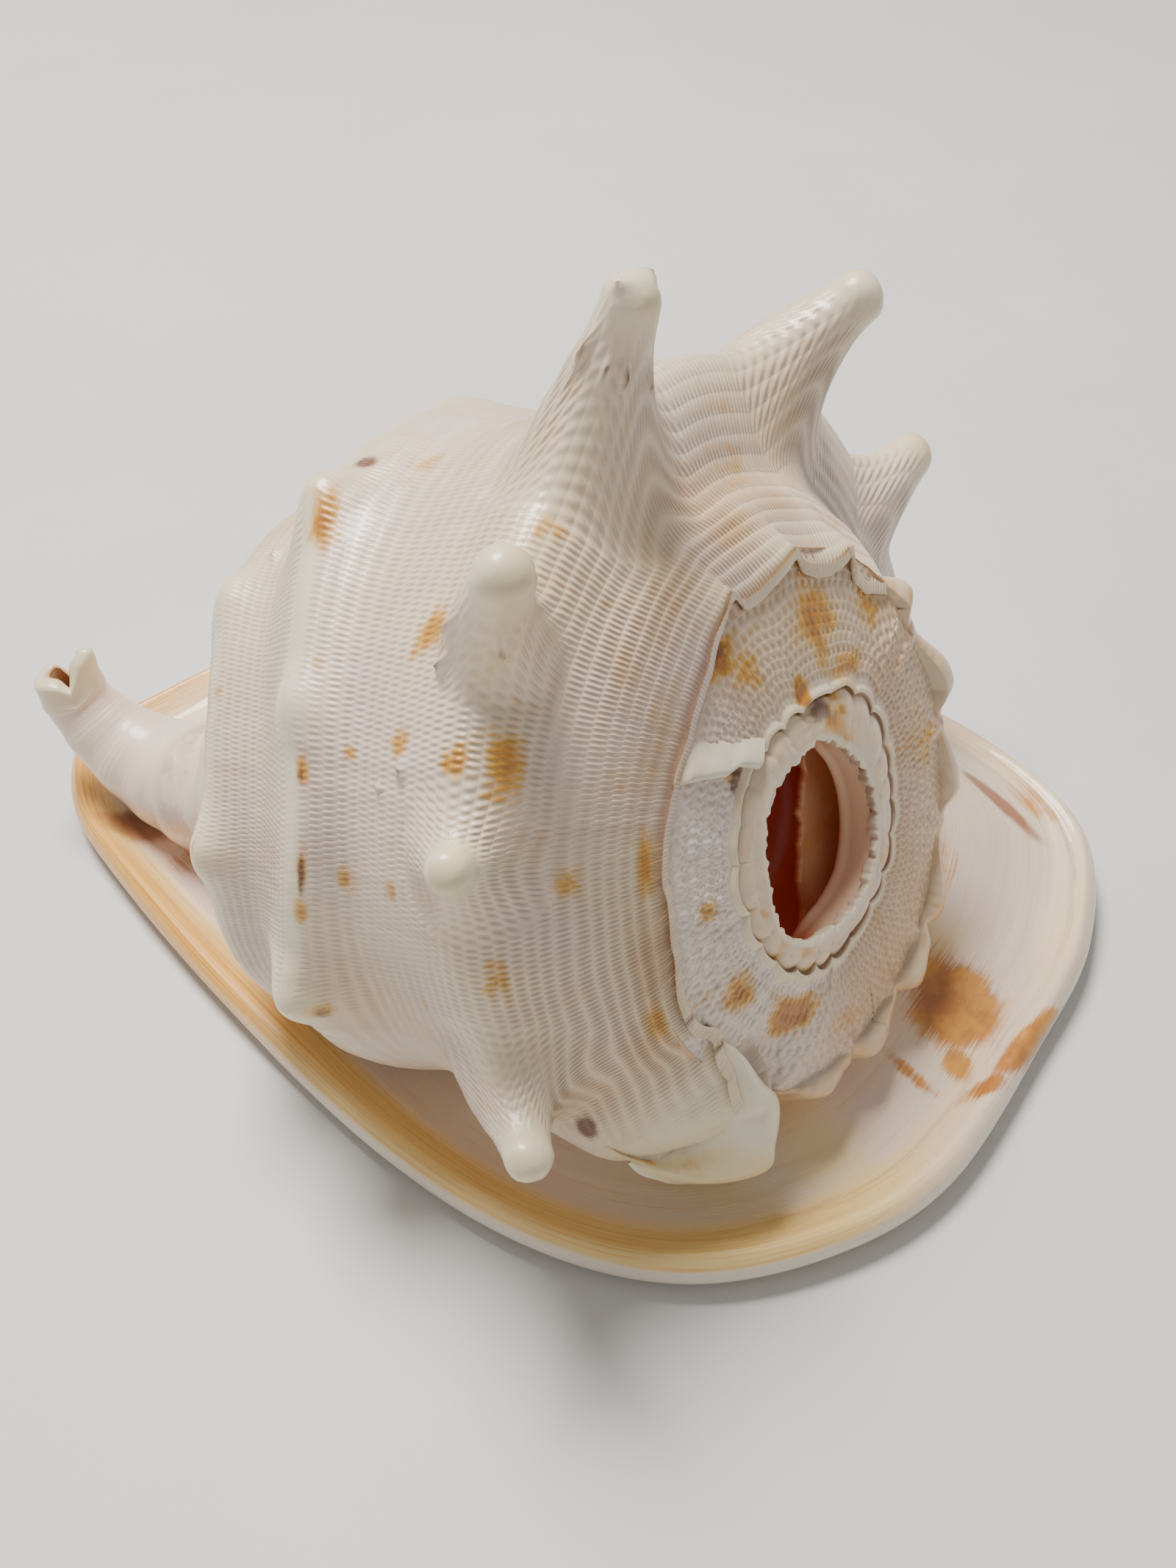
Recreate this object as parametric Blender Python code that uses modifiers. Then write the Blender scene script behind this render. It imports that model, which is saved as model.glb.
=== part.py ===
"""Horned helmet shell, one grown piece, resting on its aperture side.

The frame stands on the table: +X runs along the shell from the canal to the spire, +Z is up, and the
origin is at the middle of the base. Lengths inside the shape functions are millimetres, and each mesh is
turned into metres as it is made.

The shell coils about an axis that rises towards the spire. A place on it is given by s, the distance along
the axis, by r, the distance from the axis, and by t, the angle of growth: 0 on top, minus 90 degrees on the
near side (-Y), plus 90 degrees on the far side (+Y) and 180 degrees below.
"""

import math

import bmesh
import bpy
import numpy as np

MM = 0.001

# Driving dimensions, in millimetres and degrees
AXIS_TILT = math.radians(16.8)
AXIS_Y = -42.3
AXIS_Z = 41.7
# Brings the middle of the whole shell's box over the origin
BOX_MIDDLE = np.array([0.0, 24.2, 0.0])
WALL = 5.5
FLOOR_TOP = 9.0
SLIT_WIDTH = 12.0
SLIT_TOP = 17.0
SLIT_TOP_FRONT = 10.0
BASE_PRESS = 6.0
SUNK = 1.2
FUSE_VOXEL = 1.6
FEW_FACES_SHARE = 0.058
# Share of a horn's foot that its round tip is drawn from
HORN_CAP = 0.30

# The profile of the body whorl at the top of the shell: place along the axis, radius, growth of the radius
# for each radian, drift towards the canal for each radian, and push towards the spire on the near side
PROFILE = (
    (-55.0, 19.0, 0.02, 2.0, 5.0),
    (-45.0, 36.0, 0.05, 3.0, 7.0),
    (-34.2, 53.5, 0.09, 3.6, 8.9),
    (-21.0, 57.5, 0.11, 2.8, 10.5),
    (-7.9, 68.5, 0.14, 1.5, 13.0),
    (11.5, 67.0, 0.145, 0.3, 4.5),
    (29.0, 70.5, 0.15, -2.0, 0.8),
    (44.1, 74.0, 0.15, -3.7, 0.0),
    (52.5, 59.0, 0.08, -2.6, 0.0),
    (60.0, 41.5, 0.03, -2.0, 0.0),
)
SHOULDER = 7.0
RIDGE_2 = 4.0
RIDGE_3 = 2.0

# Horns on the shoulder: growth angle, length, foot radius, tip radius, lean towards the spire
HORNS = (
    (-93.0, 18.0, 14.0, 4.2, 0.93),
    (-54.0, 10.0, 14.0, 5.0, 0.50),
    (-26.0, 23.0, 15.0, 5.2, 0.70),
    (4.0, 25.5, 19.0, 4.4, 0.60),
    (48.0, 23.5, 20.0, 5.2, 1.10),
    (81.0, 19.2, 16.0, 5.0, 0.35),
    (118.0, 9.0, 14.0, 5.0, 0.00),
)
# Low knobs on the two ridges and the swelling at the old lip: place in the profile, growth angle, height,
# radius
KNOBS = (
    (RIDGE_2, -4.0, 5.0, 9.0),
    (RIDGE_2, -36.0, 2.5, 8.0),
    (RIDGE_2, -84.0, 5.0, 9.0),
    (RIDGE_2, 34.0, 2.0, 9.0),
    (RIDGE_2, 76.0, 4.0, 9.0),
    (RIDGE_3, -12.0, 3.0, 8.0),
    (RIDGE_3, -62.0, 4.0, 8.0),
    (RIDGE_3, 42.0, 3.0, 8.0),
    (8.2, -127.0, 7.5, 17.0),
)

# The spire's face: its place on the axis, its middle above and beyond the axis, and its lean
FACE_S = 70.0
FACE_UP = 1.7
FACE_FAR = 0.6
FACE_LEAN_NEAR = 0.165
FACE_LEAN_UP = 0.098
# The body whorl's lapped edge on the spire: growth angle and radius around the face's middle
LAPPED_EDGE = (
    (-150, 45.0), (-135, 43.5), (-125, 40.0), (-119, 37.2), (-113, 39.6), (-99, 39.4), (-90, 39.0),
    (-80, 36.9), (-67, 36.8), (-61, 38.0), (-50, 38.2), (-40, 37.8), (-29, 37.9), (-14, 40.2), (-6, 43.9),
    (1, 46.5), (3, 42.7), (12, 43.4), (23, 46.8), (25, 43.7), (34, 43.3), (43.5, 48.0), (45.5, 43.4),
    (52, 42.6), (58, 44.5), (65, 48.5), (75, 47.0),
)
EDGE_HEIGHT = -3.2
# The older whorl's knobs around the face: angle, height, reach outwards
SPIRE_KNOBS = (
    (64, 2.0, 3.0), (92, 2.2, 3.5), (117, 2.0, 2.6), (146, 2.0, 3.2), (163, 2.4, 3.6), (184, 2.2, 3.0),
    (205, 1.6, 2.4),
)
KNOB_HALF = 7.5
# The broken hole in the face: angle and radius
HOLE = (
    (-172, 17.0), (-158, 16.6), (-134, 17.5), (-114, 18.2), (-78, 16.4), (-55, 17.1), (-40, 17.8),
    (-23, 17.3), (0, 15.9), (21, 16.6), (47, 15.0), (68, 14.9), (88, 15.3), (111, 16.0), (151, 17.8),
    (172, 17.3), (188, 17.0),
)

# The old lip's band below the spire: where it leaves the body whorl and the point of its free edge
OLD_LIP = (
    (9.0, -115.0, 65.2, -75.2, 45.6), (9.0, -120.0, 67.3, -73.8, 41.2), (9.0, -124.5, 70.0, -72.5, 35.2),
    (8.85, -127.0, 72.7, -71.0, 30.5), (8.72, -128.5, 74.3, -73.5, 28.0), (8.6, -130.5, 74.9, -76.3, 24.0),
    (8.45, -131.0, 74.8, -77.8, 19.0), (8.3, -130.0, 70.0, -81.5, 17.2), (8.1, -127.0, 64.1, -85.5, 18.2),
    (7.95, -122.0, 59.1, -88.4, 21.5), (7.8, -117.0, 54.8, -90.6, 25.8),
)

# The rim of the base seen from above, from the canal end along the near side and back along the far side
RIM = (
    (-113, -36), (-101, -53), (-80, -65), (-40, -82), (4, -97), (38, -102), (66, -97), (88, -81),
    (103, -58), (110, -22), (113, 8), (105, 36), (80, 52), (52, 59), (17, 63), (-22, 56), (-62, 36),
    (-96, 4), (-108, -18),
)
RIM_CENTRE = (0.0, -18.0)
# Middle line of the aperture slit seen from above
SLIT_LINE = ((-84, -41), (-66, -34), (-38, -20), (-6, -12), (26, -8), (54, -10))
# Middle line of the canal and its radius
CANAL = (
    (-40, -41, 23, 20.0), (-62, -42, 18, 16.5), (-77, -42, 15.5, 12.8), (-91, -42, 19, 9.6),
    (-100.5, -42, 27, 7.4), (-104, -42, 35.5, 5.9),
)
CANAL_BORE = (
    (-76, -38, 9, 3.2), (-84, -41, 12, 4.0), (-93, -42, 18, 4.2), (-101.5, -42, 27, 4.0),
    (-105, -42, 40, 4.2),
)


def along_axis():
    return np.array([math.cos(AXIS_TILT), 0.0, math.sin(AXIS_TILT)])


def above_axis():
    return np.array([-math.sin(AXIS_TILT), 0.0, math.cos(AXIS_TILT)])


def place(s, r, t):
    """Points at s along the axis, r from it and growth angle t in radians."""
    s, r, t = np.broadcast_arrays(*(np.asarray(value, float) for value in (s, r, t)))
    far = np.array([0.0, 1.0, 0.0])
    start = np.array([0.0, AXIS_Y, AXIS_Z])
    out = above_axis() * np.cos(t)[..., None] + far * np.sin(t)[..., None]
    return start + along_axis() * s[..., None] + out * r[..., None]


def on_face(height, radius, t):
    """Points over the spire's leaning face: height above it, distance from its middle, angle t around it."""
    height, radius, t = np.broadcast_arrays(*(np.asarray(value, float) for value in (height, radius, t)))
    far = np.array([0.0, 1.0, 0.0])
    normal = along_axis() - FACE_LEAN_NEAR * far + FACE_LEAN_UP * above_axis()
    normal /= np.linalg.norm(normal)
    up = above_axis() - normal * (above_axis() @ normal)
    up /= np.linalg.norm(up)
    side = np.cross(up, normal)
    middle = place(FACE_S, 0.0, 0.0) + FACE_UP * above_axis() + FACE_FAR * far
    out = up * np.cos(t)[..., None] + side * np.sin(t)[..., None]
    return middle + normal * height[..., None] + out * radius[..., None]


def smooth_step(value, low, high):
    share = np.clip((value - low) / (high - low), 0.0, 1.0)
    return share * share * (3.0 - 2.0 * share)


def spline(points, at, closed=False):
    """A smooth curve through the points, read at the places named by at (0 is the first point)."""
    points = np.asarray(points, float)
    count = len(points)
    at = np.asarray(at, float)
    low = np.floor(at).astype(int) if closed else np.clip(np.floor(at).astype(int), 0, count - 2)
    f = (at - low)[..., None]
    index = [low - 1, low, low + 1, low + 2]
    index = [i % count for i in index] if closed else [np.clip(i, 0, count - 1) for i in index]
    a, b, c, d = (points[i] for i in index)
    return 0.5 * (2 * b + (c - a) * f + (2 * a - 5 * b + 4 * c - d) * f**2 + (3 * b - a - 3 * c + d) * f**3)


def profile_at(v, t):
    """s and r of the plain body whorl at profile place v and growth angle t."""
    rows = spline(PROFILE, v)
    s_top, r_top, growth, drift, push = (rows[..., i] for i in range(5))
    near = np.exp(-(((np.degrees(t) + 45.0) / 38.0) ** 2))
    return s_top - drift * t + push * near, r_top * np.exp(growth * t)


def lapped_edge(t):
    """How far the body whorl's last rows are pulled onto its wavy edge on the spire, as a vector."""
    degrees = np.degrees(t)
    radius = np.interp(degrees, *zip(*LAPPED_EDGE))
    s, r = profile_at(np.full_like(t, len(PROFILE) - 1.0), t)
    pull = on_face(EDGE_HEIGHT, radius, t) - place(s, r, t)
    share = smooth_step(degrees, -160.0, -140.0) * (1.0 - smooth_step(degrees, 58.0, 72.0))
    return pull * share[..., None]


def body_point(v, t):
    """The body whorl's outer surface with its horns, knobs and lapped edge."""
    v, t = np.broadcast_arrays(np.asarray(v, float), np.asarray(t, float))
    s, r = profile_at(v, t)
    for knob_v, knob_deg, height, radius in KNOBS:
        knob_t = math.radians(knob_deg)
        knob_s, knob_r = profile_at(np.array(knob_v), np.array(knob_t))
        reach = np.hypot(s - knob_s, (t - knob_t) * knob_r)
        r = r + height * np.exp(-((reach / radius) ** 2) * 1.8)
    points = place(s, r, t) + lapped_edge(t) * smooth_step(v, 7.9, 9.0)[..., None]
    for horn_deg, length, foot, tip, lean in HORNS:
        points = with_horn(points, s, r, t, math.radians(horn_deg), length, foot, tip, lean)
    return points


def with_horn(points, s, r, t, horn_t, length, foot, tip, lean):
    """Draws the surface around one place on the shoulder out into a horn with a round tip."""
    horn_s, horn_r = profile_at(np.array(SHOULDER), np.array(horn_t))
    across = (t - horn_t) * horn_r
    # Radius and place along the axis together measure the way over the shoulder's edge
    along = np.sign(s - horn_s) * np.hypot(s - horn_s, 0.75 * (r - horn_r * np.exp(0.15 * (t - horn_t))))
    q = np.hypot(across, along) / foot
    centre = place(horn_s, horn_r, horn_t)
    axis = place(0.0, 1.0, horn_t) - place(0.0, 0.0, horn_t) + lean * along_axis()
    axis /= np.linalg.norm(axis)
    away = points - centre
    raised = away @ axis
    sideways = away - raised[..., None] * axis
    cap_turn = math.radians(80)
    turn = np.clip(q / HORN_CAP, 0.0, 1.0) * cap_turn
    u = np.clip((q - HORN_CAP) / (1.0 - HORN_CAP), 0.0, 1.0)
    cap_foot = length - tip * (1.0 - math.cos(cap_turn))
    radius = np.where(q < HORN_CAP, tip * np.sin(turn), tip * math.sin(cap_turn) + (foot - tip) * u**1.75)
    height = np.where(q < HORN_CAP, length - tip * (1.0 - np.cos(turn)), cap_foot * (1.0 - u) ** 1.7)
    width = np.maximum(np.linalg.norm(sideways, axis=-1), 1e-6)
    plain = radius * width / (foot * np.maximum(q, 1e-6))
    rounded = radius + (plain - radius) * smooth_step(q, 0.45, 1.0)
    height = height + raised * smooth_step(q, 0.25, 1.0)
    horn = centre + sideways * (rounded / width)[..., None] + axis * height[..., None]
    return np.where((q < 1.0)[..., None], horn, points)


def new_object(name, points, faces, collection):
    """A mesh object in metres, with its faces turned outwards."""
    mesh = bpy.data.meshes.new(name)
    points = (np.asarray(points) + BOX_MIDDLE) * MM
    mesh.from_pydata([tuple(point) for point in points], [], faces)
    work = bmesh.new()
    work.from_mesh(mesh)
    bmesh.ops.remove_doubles(work, verts=work.verts, dist=1e-6)
    bmesh.ops.triangulate(work, faces=work.faces)
    bmesh.ops.recalc_face_normals(work, faces=work.faces)
    if work.calc_volume(signed=True) < 0:
        bmesh.ops.reverse_faces(work, faces=work.faces)
    work.to_mesh(mesh)
    work.free()
    made = bpy.data.objects.new(name, mesh)
    collection.objects.link(made)
    return made


def loft(name, rings, collection):
    """A closed solid through rings of equal point counts, with a cap on each end."""
    rings = np.asarray(rings)
    count, around = rings.shape[:2]
    points = list(rings.reshape(-1, 3))
    faces = []
    for i in range(count - 1):
        for k in range(around):
            m = (k + 1) % around
            low, high = i * around, (i + 1) * around
            faces.append((low + k, low + m, high + m, high + k))
    for ring in (0, count - 1):
        points.append(rings[ring].mean(axis=0))
        middle = len(points) - 1
        for k in range(around):
            faces.append((ring * around + k, ring * around + (k + 1) % around, middle))
    return new_object(name, points, faces, collection)


def body_whorl(collection):
    """The body whorl as a cam around the axis, with its step on the underside."""
    angles = [-178, -170, -162, -154, -146, -139, -132, -126, -120, -114]
    angles += [-109, -105, -101, -97, -93, -89, -85, -81, -76, -70, -65, -61, -57, -53, -49, -45, -41]
    angles += [-37, -33, -29, -25, -21, -16, -10, -5, -1, 4, 9, 13, 18, 23, 28, 33, 38, 43, 48, 53, 58]
    angles += [63, 68, 72, 77, 81, 85, 90, 95, 101, 107, 112, 118, 124, 130, 138, 146, 155, 165, 178]
    places = [0, 0.6, 1, 1.5, 2, 2.5, 3, 3.5, 4, 4.5, 5, 5.4, 5.8, 6.1, 6.4, 6.65, 6.85, 7, 7.18, 7.4]
    places = np.array(places + [7.65, 8, 8.5, 9])
    rings = [pressed(body_point(places, angle)) for angle in np.radians(angles)]
    ends = place([-57.0, 56.0], [0.0, 0.0], [0.0, 0.0])
    return around_axis("body_whorl", rings, ends, collection)


def pressed(points):
    """Presses what would reach below the base into it, without a fold."""
    low = points[..., 2] < BASE_PRESS
    z = np.where(low, BASE_PRESS + 0.05 * (points[..., 2] - BASE_PRESS), points[..., 2])
    return np.concatenate([points[..., :2], z[..., None]], axis=-1)


def around_axis(name, rings, ends, collection):
    """A closed solid from sections that go once round an axis, with a fan of faces to each axis end."""
    rings = np.asarray(rings)
    count, along = rings.shape[:2]
    points = list(rings.reshape(-1, 3)) + list(ends)
    low, high = count * along, count * along + 1
    faces = []
    for i in range(count):
        j = (i + 1) % count
        for k in range(along - 1):
            faces.append((i * along + k, i * along + k + 1, j * along + k + 1, j * along + k))
        faces.append((low, i * along, j * along))
        faces.append((high, j * along + along - 1, i * along + along - 1))
    return new_object(name, points, faces, collection)


def bare(degrees):
    """How far the older whorl's knobs stand free of the body whorl, by angle around the face."""
    degrees = (degrees + 180.0) % 360.0 - 180.0
    return min(float(smooth_step(degrees, 52.0, 66.0) + 1.0 - smooth_step(degrees, -160.0, -140.0)), 1.0)


def knob_at(degrees):
    """Height and outward reach of the older whorl's knobs at one angle around the face."""
    height = reach = 0.0
    for knob_deg, knob_height, knob_reach in SPIRE_KNOBS:
        away = (degrees - knob_deg + 180.0) % 360.0 - 180.0
        bump = math.exp(-((away / KNOB_HALF) ** 2))
        height, reach = max(height, knob_height * bump), max(reach, knob_reach * bump)
    return height * bare(degrees), reach * bare(degrees)


def spire(collection):
    """The older whorls: a nearly flat face with a ring of knobs and a low inner ring."""
    turns = 90
    # Height and radius under the body whorl's edge, the same where the ring is bare, share of the knobs
    stations = (
        (-22.0, 37.0, -20.0, 43.0, 0.0), (-9.0, 38.0, -8.0, 45.0, 0.5), (-6.2, 39.0, -4.2, 46.8, 1.0),
        (-5.2, 38.5, -3.4, 46.5, 0.8), (-4.8, 37.0, -2.6, 44.0, 0.5), (-3.0, 31.0, -1.9, 35.0, 0.0),
        (-0.8, 25.5, -0.8, 25.5, 0.0), (-1.4, 23.4, -1.4, 23.4, 0.0), (0.2, 21.0, 0.2, 21.0, 0.0),
        (0.3, 17.5, 0.3, 17.5, 0.0),
    )
    rings = []
    for i in range(turns):
        degrees = 360.0 * i / turns
        knob, reach = knob_at(degrees)
        ring = []
        for under, r_under, free, r_free, share in stations:
            height = under + (free - under) * bare(degrees) + knob * share
            radius = r_under + (r_free - r_under) * bare(degrees) + reach * share
            ring.append(on_face(height, radius, math.radians(degrees)))
        rings.append(ring)
    ends = on_face([-22.0, 0.3], [0.0, 0.0], [0.0, 0.0])
    return around_axis("spire", rings, ends, collection)


def old_lip(collection):
    """The turned-back lip of an earlier growth stage, a thick band below the spire with a free edge."""
    rows = np.array(OLD_LIP)
    edge = body_point(rows[:, 0], np.radians(rows[:, 1]))
    free = rows[:, 2:]
    out = np.cross(np.gradient(free, axis=0), free - edge)
    out *= np.sign(out @ along_axis())[:, None] / np.linalg.norm(out, axis=1, keepdims=True)
    middle = 0.5 * (edge + free)
    outer = [edge + 0.5 * out, middle + 1.5 * out, free]
    inner = [free - 2.2 * out, middle - 6.0 * out, edge - 6.0 * out]
    return loft("old_lip", np.stack(outer + inner, axis=1), collection)


def base_plate(collection):
    """The parietal shield and the outer lip as one flared base with a rolled rim and a dished underside."""
    steps = 72
    centre = np.array(RIM_CENTRE)
    outline = spline(RIM, np.arange(steps) * len(RIM) / steps, closed=True)
    # Way in from the rim, height on the near side and the height that the far side has more
    top = ((0.0, 6.2, 2.0), (0.9, 8.2, 3.5), (3.0, 9.4, 5.0), (6.0, 8.0, 6.5), (10.0, 6.0, 8.5),
           (17.0, 6.0, 12.0), (27.0, 9.0, 14.0), (40.0, 14.0, 10.0))
    under = ((0.6, 4.0, 0.0), (2.4, 1.6, 0.0), (5.0, -SUNK, 0.0), (13.0, -SUNK, 0.0), (22.0, 2.6, 0.0),
             (38.0, 4.5, 0.0))
    sections = []
    for x, y in outline:
        ray = np.array([x, y]) - centre
        length = np.linalg.norm(ray)
        far = float(smooth_step(ray[1] / length, -0.05, 0.75))
        section = []
        for inward, height, more in top[::-1] + under:
            at = centre + ray * max(1.0 - inward / length, 0.12)
            section.append((at[0], at[1], height + more * far))
        sections.append(section)
    ends = np.array([(*centre, 18.0), (*centre, 5.0)])
    return around_axis("base_plate", sections, ends, collection)


def tube(name, line, sides, collection):
    """A tapered tube along a middle line of places and radii."""
    rows = spline(line, np.linspace(0, len(line) - 1, 11))
    rings = []
    for i, row in enumerate(rows):
        ahead = rows[min(i + 1, len(rows) - 1)][:3] - rows[max(i - 1, 0)][:3]
        ahead /= np.linalg.norm(ahead)
        side = np.cross(ahead, (0.0, 1.0, 0.0))
        side /= np.linalg.norm(side)
        other = np.cross(ahead, side)
        turn = np.linspace(0, 2 * math.pi, sides, endpoint=False)[:, None]
        rings.append(row[:3] + row[3] * (np.cos(turn) * side + np.sin(turn) * other))
    return loft(name, rings, collection)


def chamber(collection):
    """The hollow of the body whorl, from the near side over the top to the slit below."""
    rows = np.array([1.4, 2.0, 3.0, 4.0, 5.0, 6.0, 6.8, 7.5, 8.2])
    columella = np.array([(50.0, 30.0), (38.0, 21.0), (24.0, 14.0), (8.0, 11.0), (-10.0, 10.0), (-28.0, 9.5)])
    rings = []
    for t in np.radians(np.linspace(-118, 166, 28)):
        around = np.full(len(rows), t)
        s, r = profile_at(rows, around)
        after, before = profile_at(rows + 0.1, around), profile_at(rows - 0.1, around)
        run, rise = after[0] - before[0], after[1] - before[1]
        length = np.hypot(run, rise)
        outer = place(s + WALL * rise / length, r - WALL * run / length, t)
        inner = place(columella[:, 0], columella[:, 1], t)
        ring = np.vstack([outer, inner])
        low = ring[:, 2] < FLOOR_TOP + 2.0
        ring[low, 2] = FLOOR_TOP + 2.0 + 0.05 * (ring[low, 2] - FLOOR_TOP - 2.0)
        rings.append(ring)
    return loft("chamber", rings, collection)


def upper_chamber(collection):
    """The hollow under the spire's face, where the older whorls are broken away."""
    stations = ((-37.0, 14.0), (-34.0, 22.0), (-28.0, 29.0), (-20.0, 32.5), (-12.0, 32.5), (-7.0, 29.5),
                (-4.8, 24.5), (-3.8, 18.0))
    rings = []
    for i in range(28):
        t = 2 * math.pi * i / 28
        rings.append([on_face(height, radius, t) for height, radius in stations])
    ends = on_face([-37.0, -3.8], [0.0, 0.0], [0.0, 0.0])
    return around_axis("upper_chamber", rings, ends, collection)


def broken_hole(collection):
    """The jagged hole through the spire's face."""
    sides = 40
    t = np.linspace(-math.pi, math.pi, sides, endpoint=False)
    radius = np.interp(np.degrees(t), *zip(*HOLE)) + 0.3 * np.sin(11 * t) + 0.3 * np.sin(17 * t + 1.0)
    rings = [on_face(height, radius, t) for height in (-12.0, 9.0)]
    return loft("broken_hole", rings, collection)


def slit(collection):
    """The narrow aperture, with teeth along the outer lip and folds along the shield."""
    steps = 56
    rows = spline(SLIT_LINE, np.linspace(0, len(SLIT_LINE) - 1, steps))
    rings = []
    for i, middle in enumerate(rows):
        share = i / (steps - 1)
        ahead = rows[min(i + 1, steps - 1)] - rows[max(i - 1, 0)]
        ahead /= np.linalg.norm(ahead)
        across = np.array([-ahead[1], ahead[0]])
        half = 0.5 * SLIT_WIDTH * math.sin(math.pi * (0.12 + 0.80 * share)) ** 0.6
        toothed = smooth_step(share, 0.12, 0.25) * (1 - smooth_step(share, 0.80, 0.92))
        far = half - 1.3 * toothed * (1 + math.cos(2 * math.pi * 10 * share))
        near = half - 0.8 * toothed * (1 + math.cos(2 * math.pi * 13 * share))
        left, right = middle + across * far, middle - across * near
        top = SLIT_TOP_FRONT + (SLIT_TOP - SLIT_TOP_FRONT) * smooth_step(share, 0.1, 0.4)
        rings.append([(*right, -3.0), (*left, -3.0), (*left, top), (*right, top)])
    return loft("slit", rings, collection)


def shell_material():
    material = bpy.data.materials.new("shell")
    material.use_nodes = True
    shader = material.node_tree.nodes["Principled BSDF"]
    shader.inputs["Base Color"].default_value = (0.80, 0.70, 0.61, 1.0)
    shader.inputs["Roughness"].default_value = 0.32
    shader.inputs["Metallic"].default_value = 0.0
    return material


def ground(collection):
    """The table's space, which trims the underside of the base to flat resting faces."""
    bpy.ops.mesh.primitive_cube_add(size=1.0, location=(0.0, 0.0, -10.0 * MM))
    box = bpy.context.object
    box.name = "ground"
    box.scale = (300.0 * MM, 300.0 * MM, 20.0 * MM)
    bpy.ops.object.transform_apply(location=False, rotation=False, scale=True)
    scene_root = bpy.context.scene.collection
    if box.name in scene_root.objects:
        scene_root.objects.unlink(box)
    collection.objects.link(box)
    return box


def grown_together(name, pieces, collection):
    """One object that holds all the pieces, fused by a voxel remesh and thinned to few faces."""
    work = bmesh.new()
    for piece in pieces:
        work.from_mesh(piece.data)
        bpy.data.objects.remove(piece, do_unlink=True)
    mesh = bpy.data.meshes.new(name)
    work.to_mesh(mesh)
    work.free()
    fused = bpy.data.objects.new(name, mesh)
    collection.objects.link(fused)
    remesh = fused.modifiers.new("grow_together", "REMESH")
    remesh.mode = "VOXEL"
    remesh.voxel_size = FUSE_VOXEL * MM
    thin = fused.modifiers.new("few_faces", "DECIMATE")
    thin.ratio = FEW_FACES_SHARE
    return fused


def cut(shell, cutter):
    modifier = shell.modifiers.new(cutter.name, "BOOLEAN")
    modifier.operation = "DIFFERENCE"
    modifier.solver = "EXACT"
    modifier.object = cutter
    cutter.hide_render = True
    cutter.display_type = "WIRE"


def main():
    for old in list(bpy.data.objects):
        bpy.data.objects.remove(old, do_unlink=True)
    scene = bpy.context.scene
    parts = bpy.data.collections.new("horned_helmet_shell")
    cutters = bpy.data.collections.new("cutters")
    scene.collection.children.link(parts)
    scene.collection.children.link(cutters)
    pieces = [body_whorl(parts), base_plate(parts), spire(parts), old_lip(parts)]
    pieces.append(tube("canal", CANAL, 16, parts))
    shell = grown_together("helmet_shell", pieces, parts)
    shell.data.materials.append(shell_material())
    cut(shell, ground(cutters))
    cut(shell, chamber(cutters))
    cut(shell, upper_chamber(cutters))
    cut(shell, broken_hole(cutters))
    cut(shell, slit(cutters))
    cut(shell, tube("canal_bore", CANAL_BORE, 10, cutters))


main()
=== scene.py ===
"""Looks of the horned helmet shell: its pitted body whorl, broken spire, flared base and open canal.

Lengths are millimetres and angles degrees until a mesh is made. A place on the coiled shell is given by s,
the distance along the axis, by r, the distance from it, and by t, the angle of growth: 0 on top, minus 90
degrees on the near side (-Y), plus 90 degrees on the far side (+Y) and 180 degrees below.
"""

import bpy
import numpy as np
from numpy import arange, array, clip, concatenate, cos, cross, exp, hypot, interp, linspace
from numpy import maximum, pi, radians, sin, stack, where
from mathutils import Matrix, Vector


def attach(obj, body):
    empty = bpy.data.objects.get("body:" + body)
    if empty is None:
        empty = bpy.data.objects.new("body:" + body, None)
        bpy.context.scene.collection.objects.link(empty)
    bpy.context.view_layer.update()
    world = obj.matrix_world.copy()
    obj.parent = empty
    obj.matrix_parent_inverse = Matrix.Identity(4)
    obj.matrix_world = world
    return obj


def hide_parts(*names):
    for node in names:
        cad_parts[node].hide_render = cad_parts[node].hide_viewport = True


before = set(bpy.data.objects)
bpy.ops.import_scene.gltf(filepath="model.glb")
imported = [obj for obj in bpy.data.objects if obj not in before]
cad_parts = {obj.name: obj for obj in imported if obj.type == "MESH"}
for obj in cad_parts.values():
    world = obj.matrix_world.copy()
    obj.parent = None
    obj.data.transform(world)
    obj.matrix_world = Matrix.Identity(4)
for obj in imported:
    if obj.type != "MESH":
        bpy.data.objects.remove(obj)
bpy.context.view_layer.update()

MM = 0.001

# The coiled form, with the same driving values as the solid
AXIS_TILT = radians(16.8)
AXIS_MIDDLE = array([0, -42.3, 41.7])
ALONG = array([cos(AXIS_TILT), 0, sin(AXIS_TILT)])
ABOVE = array([-sin(AXIS_TILT), 0, cos(AXIS_TILT)])
FAR = array([0, 1, 0])
BOX_MIDDLE = array([0, 24.2, 0])
BASE_PRESS = 6
HORN_CAP = 0.28
# Profile of the body whorl on top: place along the axis, radius, growth and drift for each radian, and how
# far the near side is pushed towards the spire
PROFILE = (
    (-55, 19, 0.02, 2, 5), (-45, 36, 0.05, 3, 7), (-34.2, 53.5, 0.09, 3.6, 8.9), (-21, 57.5, 0.11, 2.8, 10.5),
    (-7.9, 68.5, 0.14, 1.5, 13), (11.5, 67, 0.145, 0.3, 4.5), (29, 70.5, 0.15, -2, 0.8),
    (44.1, 74, 0.15, -3.7, 0), (52.5, 59, 0.08, -2.6, 0), (60, 41.5, 0.03, -2, 0),
)
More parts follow.
